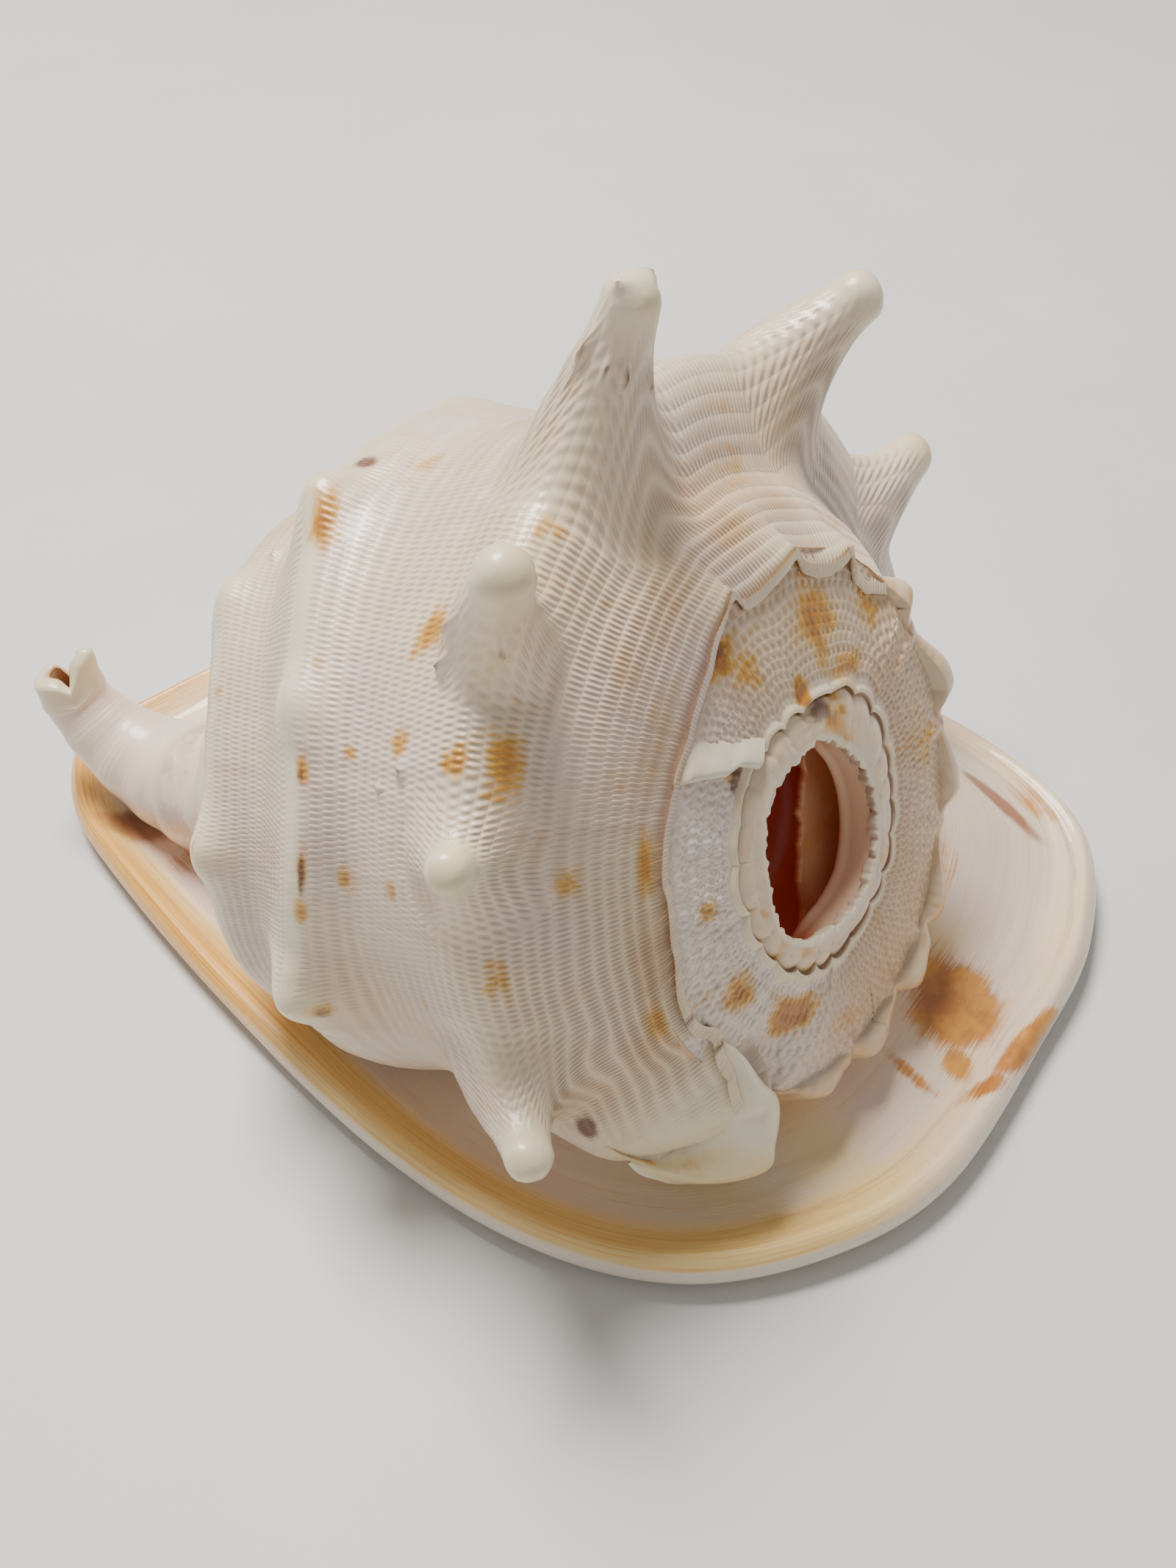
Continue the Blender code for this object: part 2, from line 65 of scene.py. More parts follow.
# Places in the profile: the first and the last row, where the lapped edge starts, the shoulder and two ridges
FIRST_ROW = 0.15
LAST_ROW = 9
LAP_START = 7.9
SHOULDER = 7
RIDGE_2 = 4
RIDGE_3 = 2
# Horns on the shoulder: growth angle, length, foot radius, tip radius, lean towards the spire
HORNS = (
    (-93, 18, 15, 3.7, 0.93), (-54, 8.5, 13, 3.6, 0.5), (-26, 22.5, 11, 4.4, 0.7), (4, 25.5, 19, 4.4, 0.6),
    (48, 23.5, 20, 5.2, 1.1), (81, 19.2, 16, 5, 0.35), (118, 9, 14, 5, 0),
)
# Low knobs on the two ridges and the swelling at the old lip: place in the profile, growth angle, height,
# radius
KNOBS = (
    (RIDGE_2, -4, 5, 9), (RIDGE_2, -36, 2.5, 8), (RIDGE_2, -84, 5, 9), (RIDGE_2, 34, 2, 9),
    (RIDGE_2, 76, 4, 9), (RIDGE_3, -12, 3, 8), (RIDGE_3, -62, 4, 8), (RIDGE_3, 42, 3, 8),
    (8.2, -127, 7.5, 17),
)
# The spire's face: its place on the axis, its middle above and beyond the axis, and its lean
FACE_S = 70
FACE_UP = 1.7
FACE_FAR = 0.6
FACE_LEAN_NEAR = 0.165
FACE_LEAN_UP = 0.098
# The body whorl's lapped edge on the spire: growth angle and radius around the face's middle
LAPPED_EDGE = (
    (-150, 45), (-135, 43.5), (-125, 40), (-119, 37.2), (-113, 39.6), (-99, 39.4), (-90, 39), (-80, 36.9),
    (-67, 36.8), (-61, 38), (-50, 38.2), (-40, 37.8), (-29, 37.9), (-14, 40.2), (-6, 43.9), (-1, 46.2),
    (1.5, 46.2), (3.5, 42.6), (10, 42.5), (16, 43.9), (20, 45.7), (23, 46.8), (25.5, 43.7), (31, 42.7),
    (36, 43.3), (40, 45.3), (43.5, 48), (46, 43.4), (52, 42.6), (58, 44.5), (65, 48.5), (75, 47),
)
EDGE_HEIGHT = -3.2
LAP_PEAKS = (1, 23, 43.5, 65)

# The rim of the base seen from above, from the canal end along the near side and back along the far side
RIM = (
    (-113, -36), (-101, -53), (-80, -65), (-40, -82), (4, -97), (38, -102), (66, -97), (88, -81),
    (103, -58), (110, -22), (113, 8), (105, 36), (80, 52), (52, 59), (17, 63), (-22, 56), (-62, 36),
    (-96, 4), (-108, -18),
)
RIM_CENTRE = (0, -18)
# The line of the mouth in the underside: x, y
SLIT_LINE = ((-84, -41), (-66, -34), (-38, -20), (-6, -12), (26, -8), (54, -10))
# The canal from its foot to its open end: x, y, z, radius
CANAL = (
    (-40, -41, 23, 20), (-62, -42, 18, 16.5), (-77, -42, 15.5, 12.8), (-91, -42, 19, 9.6),
    (-100.5, -42, 27, 7.4), (-104, -42, 35.5, 5.9),
)

# Surface pattern: the pits' spacing along the growth and along the spiral rows, and their relief
PIT_DEGREES = 0.94
PIT_ROW = 2.3
PIT_DEPTH = 0.19
PIT_BEAD = 0.11

# Camera at the photograph's angle
CAMERA_TARGET = (0.00385, 0.0202, 0.01517)
CAMERA_AZIMUTH = 26.27
CAMERA_ELEVATION = 44.59
CAMERA_DISTANCE = 0.3225
CAMERA_LENS = 33.755


def unit(vector):
    return vector / maximum(np.linalg.norm(vector, axis=-1, keepdims=True), 1e-9)


def column(values):
    """Values with one more axis, to be multiplied with points."""
    return np.asarray(values, float)[..., None]


def place(s, r, t):
    """Points at s along the axis, r from it and growth angle t in radians."""
    out = ABOVE * cos(column(t)) + FAR * sin(column(t))
    return AXIS_MIDDLE + ALONG * column(s) + out * column(r)


def on_face(height, radius, t):
    """Points over the spire's leaning face: height above it, distance from its middle, angle t around it."""
    normal = unit(ALONG - FACE_LEAN_NEAR * FAR + FACE_LEAN_UP * ABOVE)
    up = unit(ABOVE - normal * (ABOVE @ normal))
    middle = AXIS_MIDDLE + ALONG * FACE_S + FACE_UP * ABOVE + FACE_FAR * FAR
    out = up * cos(column(t)) + cross(up, normal) * sin(column(t))
    return middle + normal * column(height) + out * column(radius)


def rise(value, low, high):
    """Smooth rise from 0 at low to 1 at high."""
    share = clip((value - low) / (high - low), 0, 1)
    return share * share * (3 - 2 * share)


def between(value, low, full, end, high):
    """Smooth rise from low to full and fall from end to high."""
    return rise(value, low, full) * (1 - rise(value, end, high))


def hump(value, middle, width):
    """1 at the middle, fading to both sides."""
    return exp(-(((value - middle) / width) ** 2))


def turned(degrees):
    """The same angles between -180 and 180."""
    return np.mod(degrees + 180, 360) - 180


def spline(points, at, closed=False):
    """A smooth curve through the points, read at the places named by at (0 is the first point)."""
    points = np.asarray(points, float)
    count = len(points)
    at = np.asarray(at, float)
    low = np.floor(at).astype(int) if closed else clip(np.floor(at).astype(int), 0, count - 2)
    f = (at - low).reshape(at.shape + (1,) * (points.ndim - 1))
    index = [low - 1, low, low + 1, low + 2]
    index = [i % count for i in index] if closed else [clip(i, 0, count - 1) for i in index]
    a, b, c, d = (points[i] for i in index)
    return 0.5 * (2 * b + (c - a) * f + (2 * a - 5 * b + 4 * c - d) * f**2 + (3 * b - a - 3 * c + d) * f**3)


def waves(x, y, seed, octaves=3):
    """Smooth noise between about -1 and 1 from a few crossed sine waves."""
    total = 0
    size = 1
    for octave in range(octaves):
        turn = seed * 1.7 + octave * 2.1
        a = x * cos(turn) + y * sin(turn)
        b = y * cos(turn + 1.3) - x * sin(turn + 1.3)
        bent = sin(a + 1.3 * sin(0.7 * b + seed))
        total = total + size * bent * cos(0.8 * b + 0.9 * sin(0.6 * a))
        size *= 0.5
        x = x * 2.03 + 3.1
        y = y * 2.03 - 1.7
    return total / 1.6


def above_mouth(points):
    """The points lifted clear of the underside and of the mouth's trough in it."""
    line = spline(SLIT_LINE, linspace(0, len(SLIT_LINE) - 1, 60))
    low = points[..., 2] < 26
    near = points[low]
    gap = np.min(np.linalg.norm(near[:, None, :2] - line, axis=-1), axis=-1)
    roof = 8.3 + 11.5 * rise(near[:, 0], -60, -30)
    near[:, 2] = maximum(near[:, 2], 5.2 + roof * (1 - rise(gap, 7, 10.5)))
    points[low] = near
    return points


def profile_at(v, t):
    """s and r of the plain body whorl at profile place v and growth angle t."""
    rows = spline(PROFILE, v)
    s_top, r_top, growth, drift, push = (rows[..., i] for i in range(5))
    return s_top - drift * t + push * hump(np.degrees(t), -45, 38), r_top * exp(growth * t)


def smooth_table(table, degrees, spread):
    """A table of angles and values read at the given angles, smoothed over a spread in degrees."""
    fine = arange(-200, 200.5, 0.5)
    values = np.pad(interp(fine, *zip(*table)), 60, mode="edge")
    kernel = hump(arange(-60, 61) * 0.5, 0, spread)
    return interp(degrees, fine, np.convolve(values, kernel / kernel.sum(), mode="valid"))


def lap_swell(degrees):
    """Swelling of the body whorl over each knob of the older whorl, just before the edge's steps."""
    return sum(hump(degrees, peak - 3, 5.5) * rise(peak + 1.6 - degrees, 0, 2.2) for peak in LAP_PEAKS)


def lapped(points, v, t):
    """Brings the body whorl's last rows straight onto its wavy edge on the spire."""
    degrees = np.degrees(t)
    start = place(*profile_at(LAP_START, t), t)
    end = on_face(EDGE_HEIGHT, smooth_table(LAPPED_EDGE, degrees, 9), t)
    share = clip((v - LAP_START) / (LAST_ROW - LAP_START), 0, 1)[..., None]
    target = start + (end - start) * share + ALONG * 3.2 * share * (1 - share)
    swell = 1.2 * lap_swell(degrees)
    steps = on_face(EDGE_HEIGHT, smooth_table(LAPPED_EDGE, degrees, 0.8), t) - end
    target = target + steps * rise(v, 8.5, 9)[..., None]
    rolled = 1 - 0.8 * rise(v, 8.86, 9.02)
    target = target + ALONG * (swell * rolled * rise(v, 8.1, 8.8))[..., None]
    target = target - ALONG * (0.7 * rise(v, 8.88, 9.02))[..., None]
    weight = rise(v, 7.8, 8.3) * (1 - rise(degrees, 58, 72))
    straight = points + (target - points) * weight[..., None]
    # By the old lip the surface keeps its bulge and only its edge is drawn in
    s, r = profile_at(LAST_ROW, t)
    nearer = 3.6 * hump(degrees, -108, 7)
    drawn = on_face(EDGE_HEIGHT, smooth_table(LAPPED_EDGE, degrees, 0.8) - nearer, t) - place(s, r, t)
    drawn = drawn * (rise(v, LAP_START, LAST_ROW) * rise(degrees, -160, -140))[..., None]
    bulged = 1 - rise(degrees, -112, -94)
    return straight + (points + drawn - straight) * bulged[..., None]


def knob_distance(s, t, knob_v, knob_deg):
    """Distance over the surface from a knob's middle."""
    knob_t = radians(knob_deg)
    knob_s, knob_r = profile_at(knob_v, knob_t)
    return hypot(s - knob_s, (t - knob_t) * knob_r)


def body_point(v, t):
    """The body whorl's outer surface with its horns, knobs and lapped edge."""
    v, t = np.broadcast_arrays(np.asarray(v, float), np.asarray(t, float))
    s, r = profile_at(v, t)
    for knob_v, knob_deg, height, radius in KNOBS:
        r = r + height * exp(-((knob_distance(s, t, knob_v, knob_deg) / radius) ** 2) * 1.8)
    points = lapped(place(s, r, t), v, t)
    for horn_deg, length, foot, tip, lean in HORNS:
        points = with_horn(points, s, r, t, radians(horn_deg), length, foot, tip, lean)
    return points


def horn_reach(s, r, t, horn_t, foot):
    """Distance from a horn's middle over the shoulder's edge, as a share of its foot radius."""
    horn_s, horn_r = profile_at(SHOULDER, horn_t)
    along = np.sign(s - horn_s) * hypot(s - horn_s, 0.75 * (r - horn_r * exp(0.15 * (t - horn_t))))
    return hypot((t - horn_t) * horn_r, along) / foot


def with_horn(points, s, r, t, horn_t, length, foot, tip, lean):
    """Draws the surface around one place on the shoulder out into a horn with a round tip."""
    q = horn_reach(s, r, t, horn_t, foot)
    centre = place(*profile_at(SHOULDER, horn_t), horn_t)
    axis = unit(place(0, 1, horn_t) - place(0, 0, horn_t) + lean * ALONG)
    away = points - centre
    raised = away @ axis
    sideways = away - raised[..., None] * axis
    cap_turn = radians(80)
    turn = clip(q / HORN_CAP, 0, 1) * cap_turn
    u = clip((q - HORN_CAP) / (1 - HORN_CAP), 0, 1)
    cap_foot = length - tip * (1 - cos(cap_turn))
    radius = where(q < HORN_CAP, tip * sin(turn), tip * sin(cap_turn) + (foot - tip) * u**1.75)
    height = where(q < HORN_CAP, length - tip * (1 - cos(turn)), cap_foot * (1 - u) ** 1.7)
    width = maximum(np.linalg.norm(sideways, axis=-1), 1e-6)
    plain = radius * width / (foot * maximum(q, 1e-6))
    rounded = radius + (plain - radius) * rise(q, 0.45, 1)
    height = height + raised * rise(q, 0.25, 1)
    horn = centre + sideways * (rounded / width)[..., None] + axis * height[..., None]
    return where((q < 1)[..., None], horn, points)


def grid_normals(grid, around=False):
    """Unit normals of a grid of points, rows by columns, turned to the left of rows and columns."""
    wide = concatenate([grid[:, -1:], grid, grid[:, :1]], axis=1)
    by_column = np.gradient(wide, axis=1)[:, 1:-1] if around else np.gradient(grid, axis=1)
    return unit(cross(by_column, np.gradient(grid, axis=0)))


def grid_faces(rows, columns, around=False):
    i = arange(rows - 1)[:, None] * columns
    j = arange(columns if around else columns - 1)[None, :]
    k = (j + 1) % columns
    corners = (i + j, i + k, i + columns + k, i + columns + j)
    return stack(np.broadcast_arrays(*corners), -1).reshape(-1, 4)


def shell_piece(name, points, marks, material, around=False, faces=None, normals=None):
    """One smooth piece of the shell in metres, from millimetre points and the values named on them."""
    mesh = bpy.data.meshes.new(name)
    if faces is None:
        faces = grid_faces(*points.shape[:2], around)
    faces = faces.astype(np.int32)
    mesh.vertices.add(points.size // 3)
    mesh.vertices.foreach_set("co", ((points.reshape(-1, 3) + BOX_MIDDLE) * MM).ravel())
    mesh.loops.add(faces.size)
    mesh.loops.foreach_set("vertex_index", faces.ravel())
    mesh.polygons.add(len(faces))
    mesh.polygons.foreach_set("loop_start", arange(0, faces.size, 4, dtype=np.int32))
    mesh.update(calc_edges=True)
    mesh.validate()
    for mark, values in marks.items():
        layer = mesh.attributes.new(mark, "FLOAT", "POINT")
        layer.data.foreach_set("value", np.broadcast_to(values, points.shape[:-1]).astype(np.float32).ravel())
    mesh.shade_smooth()
    if normals is not None:
        mesh.normals_split_custom_set_from_vertices(normals)
    mesh.materials.append(material)
    made = bpy.data.objects.new(name, mesh)
    bpy.context.scene.collection.objects.link(made)
    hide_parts("helmet_shell")
    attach(made, "root")


def strongest(spots, reach_of, power=2):
    """The strongest of several soft spots at each point, each given by its place, size and strength."""
    return np.max([spot[-1] * exp(-(reach_of(*spot[:-1]) ** power)) for spot in spots], axis=0)


# Colour patches on the body whorl: profile place, growth angle, half length along the axis, half length
# along the growth, strength. The last five tan patches, broad ones low on the near side, are painted shade
# where that side turns from the light; the last two brown marks are painted shade in the crevice at the
# lapped edge.
OCHRE_SPOTS = (
    (4.24, -9, 2.5, 6, 0.9), (4.4, -29.5, 1.6, 2, 0.6), (5.08, -32, 2.4, 1.8, 0.5),
    (6.08, -25.5, 3.2, 5, 0.9), (5.04, -41, 2.2, 2.2, 0.8), (5.96, -40, 2.4, 2.8, 0.9),
    (4.24, -44.5, 1.6, 2.6, 1), (6.88, -41.5, 3.2, 2.6, 0.9), (7.44, -40.5, 3.4, 3.8, 1),
    (4.92, -60.5, 1.8, 2, 0.7), (5.84, -60, 2, 2, 0.8), (4.24, -59.5, 1.4, 5, 1),
    (4.2, -66, 1.6, 3, 0.9), (7.32, -70.5, 3.2, 4.6, 0.9), (6.04, -79, 2, 2.4, 0.7),
    (4.88, -78.5, 2, 2, 0.5), (4.44, -85.5, 2.2, 2.4, 1), (8.12, -57.5, 1.8, 4, 0.7),
    (8.76, -56, 1.6, 6, 0.9), (8.68, -93.5, 2, 7, 0.8), (4.68, 1, 4, 4, 0.45),
    (4.84, 6.5, 4, 3, 0.45), (7.2, -11, 2.6, 2.4, 0.8), (6.44, -9.5, 2.6, 2.6, 0.4),
    (6.88, 23.5, 2.6, 2.2, 0.8), (2.2, -31, 1.6, 2, 0.5), (5.52, -93.5, 2.6, 3, 0.4),
    (5, 48, 3, 4, 0.7), (6.2, 70, 3, 4, 0.6), (4.6, 95, 2.6, 4, 0.8),
    (3, 60, 2.4, 3, 0.6), (5.6, 125, 3.4, 4, 0.7), (7.9, 110, 4, 5, 0.6),
    (2.6, 110, 2.4, 4, 0.5),
)
TAN_AND_SHADE_PATCHES = (
    (8.08, 16, 5, 14, 0.6), (8.4, -10, 4.5, 12, 0.6), (8.68, -32.5, 3, 12, 0.6),
    (8.72, -78.5, 3, 10, 0.8), (8.48, -100, 4, 8, 0.8), (8.32, -20.5, 4, 8, 0.5),
    (8.08, -111, 5, 8, 0.35), (8.3, 90, 5, 14, 0.6), (8.2, 140, 5, 14, 0.6),
    (7.84, 40, 5, 8, 0.35), (8.4, 14, 4, 7, 0.9), (8, -105, 5, 7, 0.6),
    (8.3, 30, 4, 6, 0.6), (6.3, -96, 10, 10, 0.7), (4.6, -84, 14, 12, 0.5),
    (3.4, -50, 9, 22, 0.45), (7.4, -100, 8, 10, 0.6), (6.6, -62, 6, 8, 0.4),
)
BROWN_AND_SHADE_MARKS = (
    (4.2, -45, 0.9, 2, 0.8), (4.24, -60, 0.9, 4.4, 1), (4.4, -86, 1.1, 2, 0.8),
    (7.68, -110.5, 2.6, 4, 1), (4.28, 4.5, 1.4, 3, 0.9), (2.05, -60, 0.8, 3, 0.6),
    (6.56, -90.5, 1.2, 2, 0.4), (8.98, -97, 0.7, 1.2, 0.7), (8.98, -111, 0.7, 1, 0.7),
)
# Bored worm holes, in the same way
WORM_HOLES = (
    (6.44, -30.5, 0.7, 0.8, 1), (6.04, -43, 0.8, 1.6, 1), (2.72, -2.5, 0.8, 1.4, 1),
    (5.64, -45.5, 0.35, 0.4, 1), (6.64, -1, 1, 1, 1), (7.4, -1.5, 0.8, 0.8, 1), (7.04, 6, 0.9, 1, 1),
    (6.9, 2, 0.8, 0.8, 1), (7.12, -2.5, 0.7, 0.7, 1), (7.68, 3.5, 0.5, 0.5, 1), (6.52, -28, 0.8, 0.9, 1),
    (7.2, -31, 0.6, 0.6, 1),
)
# Where the old lip takes over from the body whorl: profile place and growth angle
LIP_LINE = ((8.2, -131), (8.3, -131.5), (8.45, -132.5), (8.6, -132), (8.72, -130), (8.85, -128.5), (9, -126))


def row_way(v):
    """Distance along the profile on top, in millimetres, at profile place v."""
    fine = linspace(0, len(PROFILE) - 1, 600)
    s, r = profile_at(fine, -0.9)
    way = concatenate([[0], np.cumsum(hypot(np.diff(s), np.diff(r)))])
    return interp(v, fine, way)


def even_rows(low, high, step):
    """Profile places between low and high, evenly spaced along the surface."""
    fine = linspace(low, high, 800)
    way = row_way(fine)
    count = int(round((way[-1] - way[0]) / step))
    return interp(linspace(way[0], way[-1], count + 1), way, fine)


SPLIT_ANGLE = 30


def body_whorl(material):
    """The newest whorl as two joined sheets of pitted surface, with its edge lapped over the spire."""
    angles = radians(arange(-180, 180.1, PIT_DEGREES / 2))
    places = even_rows(FIRST_ROW, LAST_ROW, PIT_ROW / 3)
    v, t = np.meshgrid(places, angles, indexing="ij")
    wander = radians(0.35 * waves(v * 2.2, t * 5, 1))
    v = clip(v + 0.02 * waves(t * 6, v * 1.5, 2), FIRST_ROW, LAST_ROW)
    t = t + wander
    s, r = profile_at(v, t)
    points = body_point(v, t)
    normals = grid_normals(points)

    enamel = hump(v, RIDGE_2 + 0.05, 0.16) + 0.55 * hump(v, RIDGE_3, 0.22)
    for knob_v, knob_deg, height, radius in KNOBS:
        enamel = maximum(enamel, exp(-((knob_distance(s, t, knob_v, knob_deg) / radius) ** 2) * 2.2))
    tips = 0
    for horn_deg, length, foot, tip, lean in HORNS:
        q = horn_reach(s, r, t, radians(horn_deg), foot)
        enamel = maximum(enamel, 1 - rise(q + 0.1 * waves(v * 4, t * 9, 3), 0.26, 0.58))
        tips = maximum(tips, 1 - rise(q, 0.2, 0.6))
    enamel = maximum(enamel, 0.55 * hump(v, SHOULDER, 0.35) * (0.7 + 0.5 * waves(t * 8, v * 3, 4)))
    knuckles = lap_swell(np.degrees(t)) * rise(v, 8.4, 8.8)
    rolled = rise(-np.degrees(t), 90, 104) * rise(v, 8.8, 8.9)
    rolled = rolled * clip(0.6 + 0.7 * waves(t * 24, 0 * t, 9), 0.2, 1)
    enamel = clip(maximum(enamel, maximum(0.6 * knuckles, 0.85 * rolled)), 0, 1)

    i = arange(len(angles))[None, :]
    j = arange(len(places))[:, None]
    pit = (i + j // 3) % 2 == 0
    row_middle = where(j % 3 == 1, 1, 0.72)
    faint = (0.75 + 0.25 * waves(v * 1.7, t * 3.1, 5)) * (1 - 0.8 * rise(v, 8.8, 9))
    # Beads stand out on the canal side and the near side, and pits sink in on the ramp
    beaded = (1 - rise(v, 6, 7.3)) * (0.55 + 0.45 * (1 - rise(np.degrees(t), -60, 10)))
    beaded = maximum(beaded, 1 - rise(v, 3.6, 4.2))
    pit_depth = PIT_DEPTH * (1 + 0.3 * beaded)
    bead_height = PIT_BEAD * (1 + 1.3 * beaded)
    relief = where(pit, -pit_depth, bead_height) * row_middle * (1 - enamel) * faint
    way = row_way(v)
    growth = 0.1 * waves(t * 34, v * 0.6, 6, 2) + 0.1 * waves(way * 0.55, t * 0.7, 7, 2)
    lumps = 0.35 * tips * waves(v * 9, t * 22, 8)

    def reach(spot_v, spot_deg, half_s, half_t):
        return hypot((way - row_way(spot_v)) / half_s, (t - radians(spot_deg)) * r / half_t)

    hollow = strongest(WORM_HOLES, reach) ** 0.9
    points = points + normals * (relief + growth + lumps - 1.3 * hollow)[..., None]

    low = points[..., 2] < BASE_PRESS
    sunk = points[..., 2] < BASE_PRESS - 3
    points[..., 2] = where(low, BASE_PRESS + 0.01 * (points[..., 2] - BASE_PRESS), points[..., 2])
    points = above_mouth(points)

    # The lapped edge turns down and under, as a thin lip over the older whorl
    inward = unit(points[-1] - points[-4])
    down = -unit(grid_normals(points)[-1])
    turns = ((0.3, 0.15), (0.4, 0.45), (0.1, 0.8), (-1.8, 1.2))
    points = concatenate([points, [points[-1] + inward * along + down * depth for along, depth in turns]])
    extra = len(turns)
    marks = {
        "ochre": strongest(OCHRE_SPOTS, reach),
        "tan": strongest(TAN_AND_SHADE_PATCHES, reach),
        # Painted shade: the worm holes are darkened brown, besides the brown marks.
        "brown": maximum(strongest(BROWN_AND_SHADE_MARKS, reach), 0.75 * hollow),
        "enamel": enamel,
        "pits": 1 - 0.6 * beaded,
        "white": 0.12 * beaded,
        "cream": clip(enamel * (0.45 + 0.6 * waves(v * 3.1, t * 4, 11)), 0, 0.8),
        "net_u": i * 0.5 + 0 * v,
        "net_w": (j + 0.5) / 3 + 0 * v,
    }
    marks = {name: concatenate([values, values[[-1] * extra]]) for name, values in marks.items()}
    # Painted shade: the turned-under rows keep less of the white enamel, so the lip's underside is darker.
    marks["enamel"][-extra:] *= 0.4
    normals = grid_normals(points)
    faces = grid_faces(*points.shape[:2])
    covered = (np.degrees(t) < interp(v, *zip(*LIP_LINE))) & (v > 8.2)
    hidden = concatenate([sunk | covered, covered[[-1] * extra]]).ravel()
    faces = faces[~hidden[faces].all(axis=1)]
    split = int(np.argmin(abs(angles - radians(SPLIT_ANGLE))))
    column = faces[:, 0] % len(angles)
    for name, chosen in (("body_whorl_near", column < split), ("body_whorl_far", column >= split)):
        used, local = np.unique(faces[chosen], return_inverse=True)
        part = {mark: values.ravel()[used] for mark, values in marks.items()}
        at, facing = (values.reshape(-1, 3)[used] for values in (points, normals))
        shell_piece(name, at, part, material, faces=local.reshape(-1, 4), normals=facing)


# The older whorl's knobs around the spire's face: angle, height over the ring, reach outwards
SPIRE_KNOBS = (
    (64, 2, 3), (92, 2.2, 3.5), (117, 2, 2.6), (146, 2, 3.2), (163, 2.4, 3.6), (184, 2.2, 3),
    (205, 1.6, 2.4),
)
KNOB_HALF = 7.5
# The seam and the edge of the broken hole: angle around the face and radius
SEAM = (
    (-171, 22.6), (-147, 22.4), (-126, 23.2), (-102, 23), (-80, 23), (-60, 24), (-36, 25), (-7, 23),
    (11, 22.8), (22, 23.6), (43, 25.2), (64, 24.8), (81, 24), (103, 23.3), (135, 22.6), (162, 22.3),
    (189, 22.6),
)
LOBES_A_TURN = 22
HOLE = (
    (-172, 17), (-158, 16.6), (-134, 17.5), (-114, 18.2), (-78, 16.4), (-55, 17.1), (-40, 17.8), (-23, 17.3),
    (0, 15.9), (21, 16.6), (47, 15), (68, 14.9), (88, 15.3), (111, 16), (151, 17.8), (172, 17.3), (188, 17),
)
# Stains on the spire: angle, radius, half lengths outwards and around, strength
SPIRE_OCHRE = (
    (-10, 40.5, 3, 3, 0.9), (-6, 36, 4, 3, 0.7), (28, 36, 4, 5.5, 1), (30, 32, 4, 3, 0.8),
    (14, 25.8, 2.2, 1.6, 1.2), (-4, 33, 3, 2, 0.6), (52, 41, 4, 4, 0.7), (-74, 31, 2.4, 2, 0.8),
    (-108, 30.5, 3, 4, 0.9), (-139, 31, 3, 6, 0.9), (45, 30, 5, 6, 0.5), (-30, 30, 1.8, 1.6, 1.3),
    (100, 34, 6, 8, 0.5), (-165, 36, 3, 5, 0.5), (67, 50, 3, 3, 0.8), (92, 51, 3, 3, 0.7),
    (147, 49, 3, 3, 0.8), (163, 50, 3, 3, 0.6), (-95, 38, 3, 3, 0.5),
)
SPIRE_BROWN = (
    (24, 21.5, 1.6, 2.6, 0.9), (-31, 27.5, 1, 3, 1), (-10, 41.5, 1.6, 3, 0.6), (30, 33, 1.2, 2.4, 0.5),
    (-105, 38.5, 1, 3, 0.7), (-128, 39.5, 1.2, 4, 0.7),
)


def bare(degrees):
    """How far the older whorl's knobs stand free of the body whorl, by angle around the face."""
    degrees = turned(degrees)
    return rise(degrees, 52, 66) + (1 - rise(degrees, -160, -140))


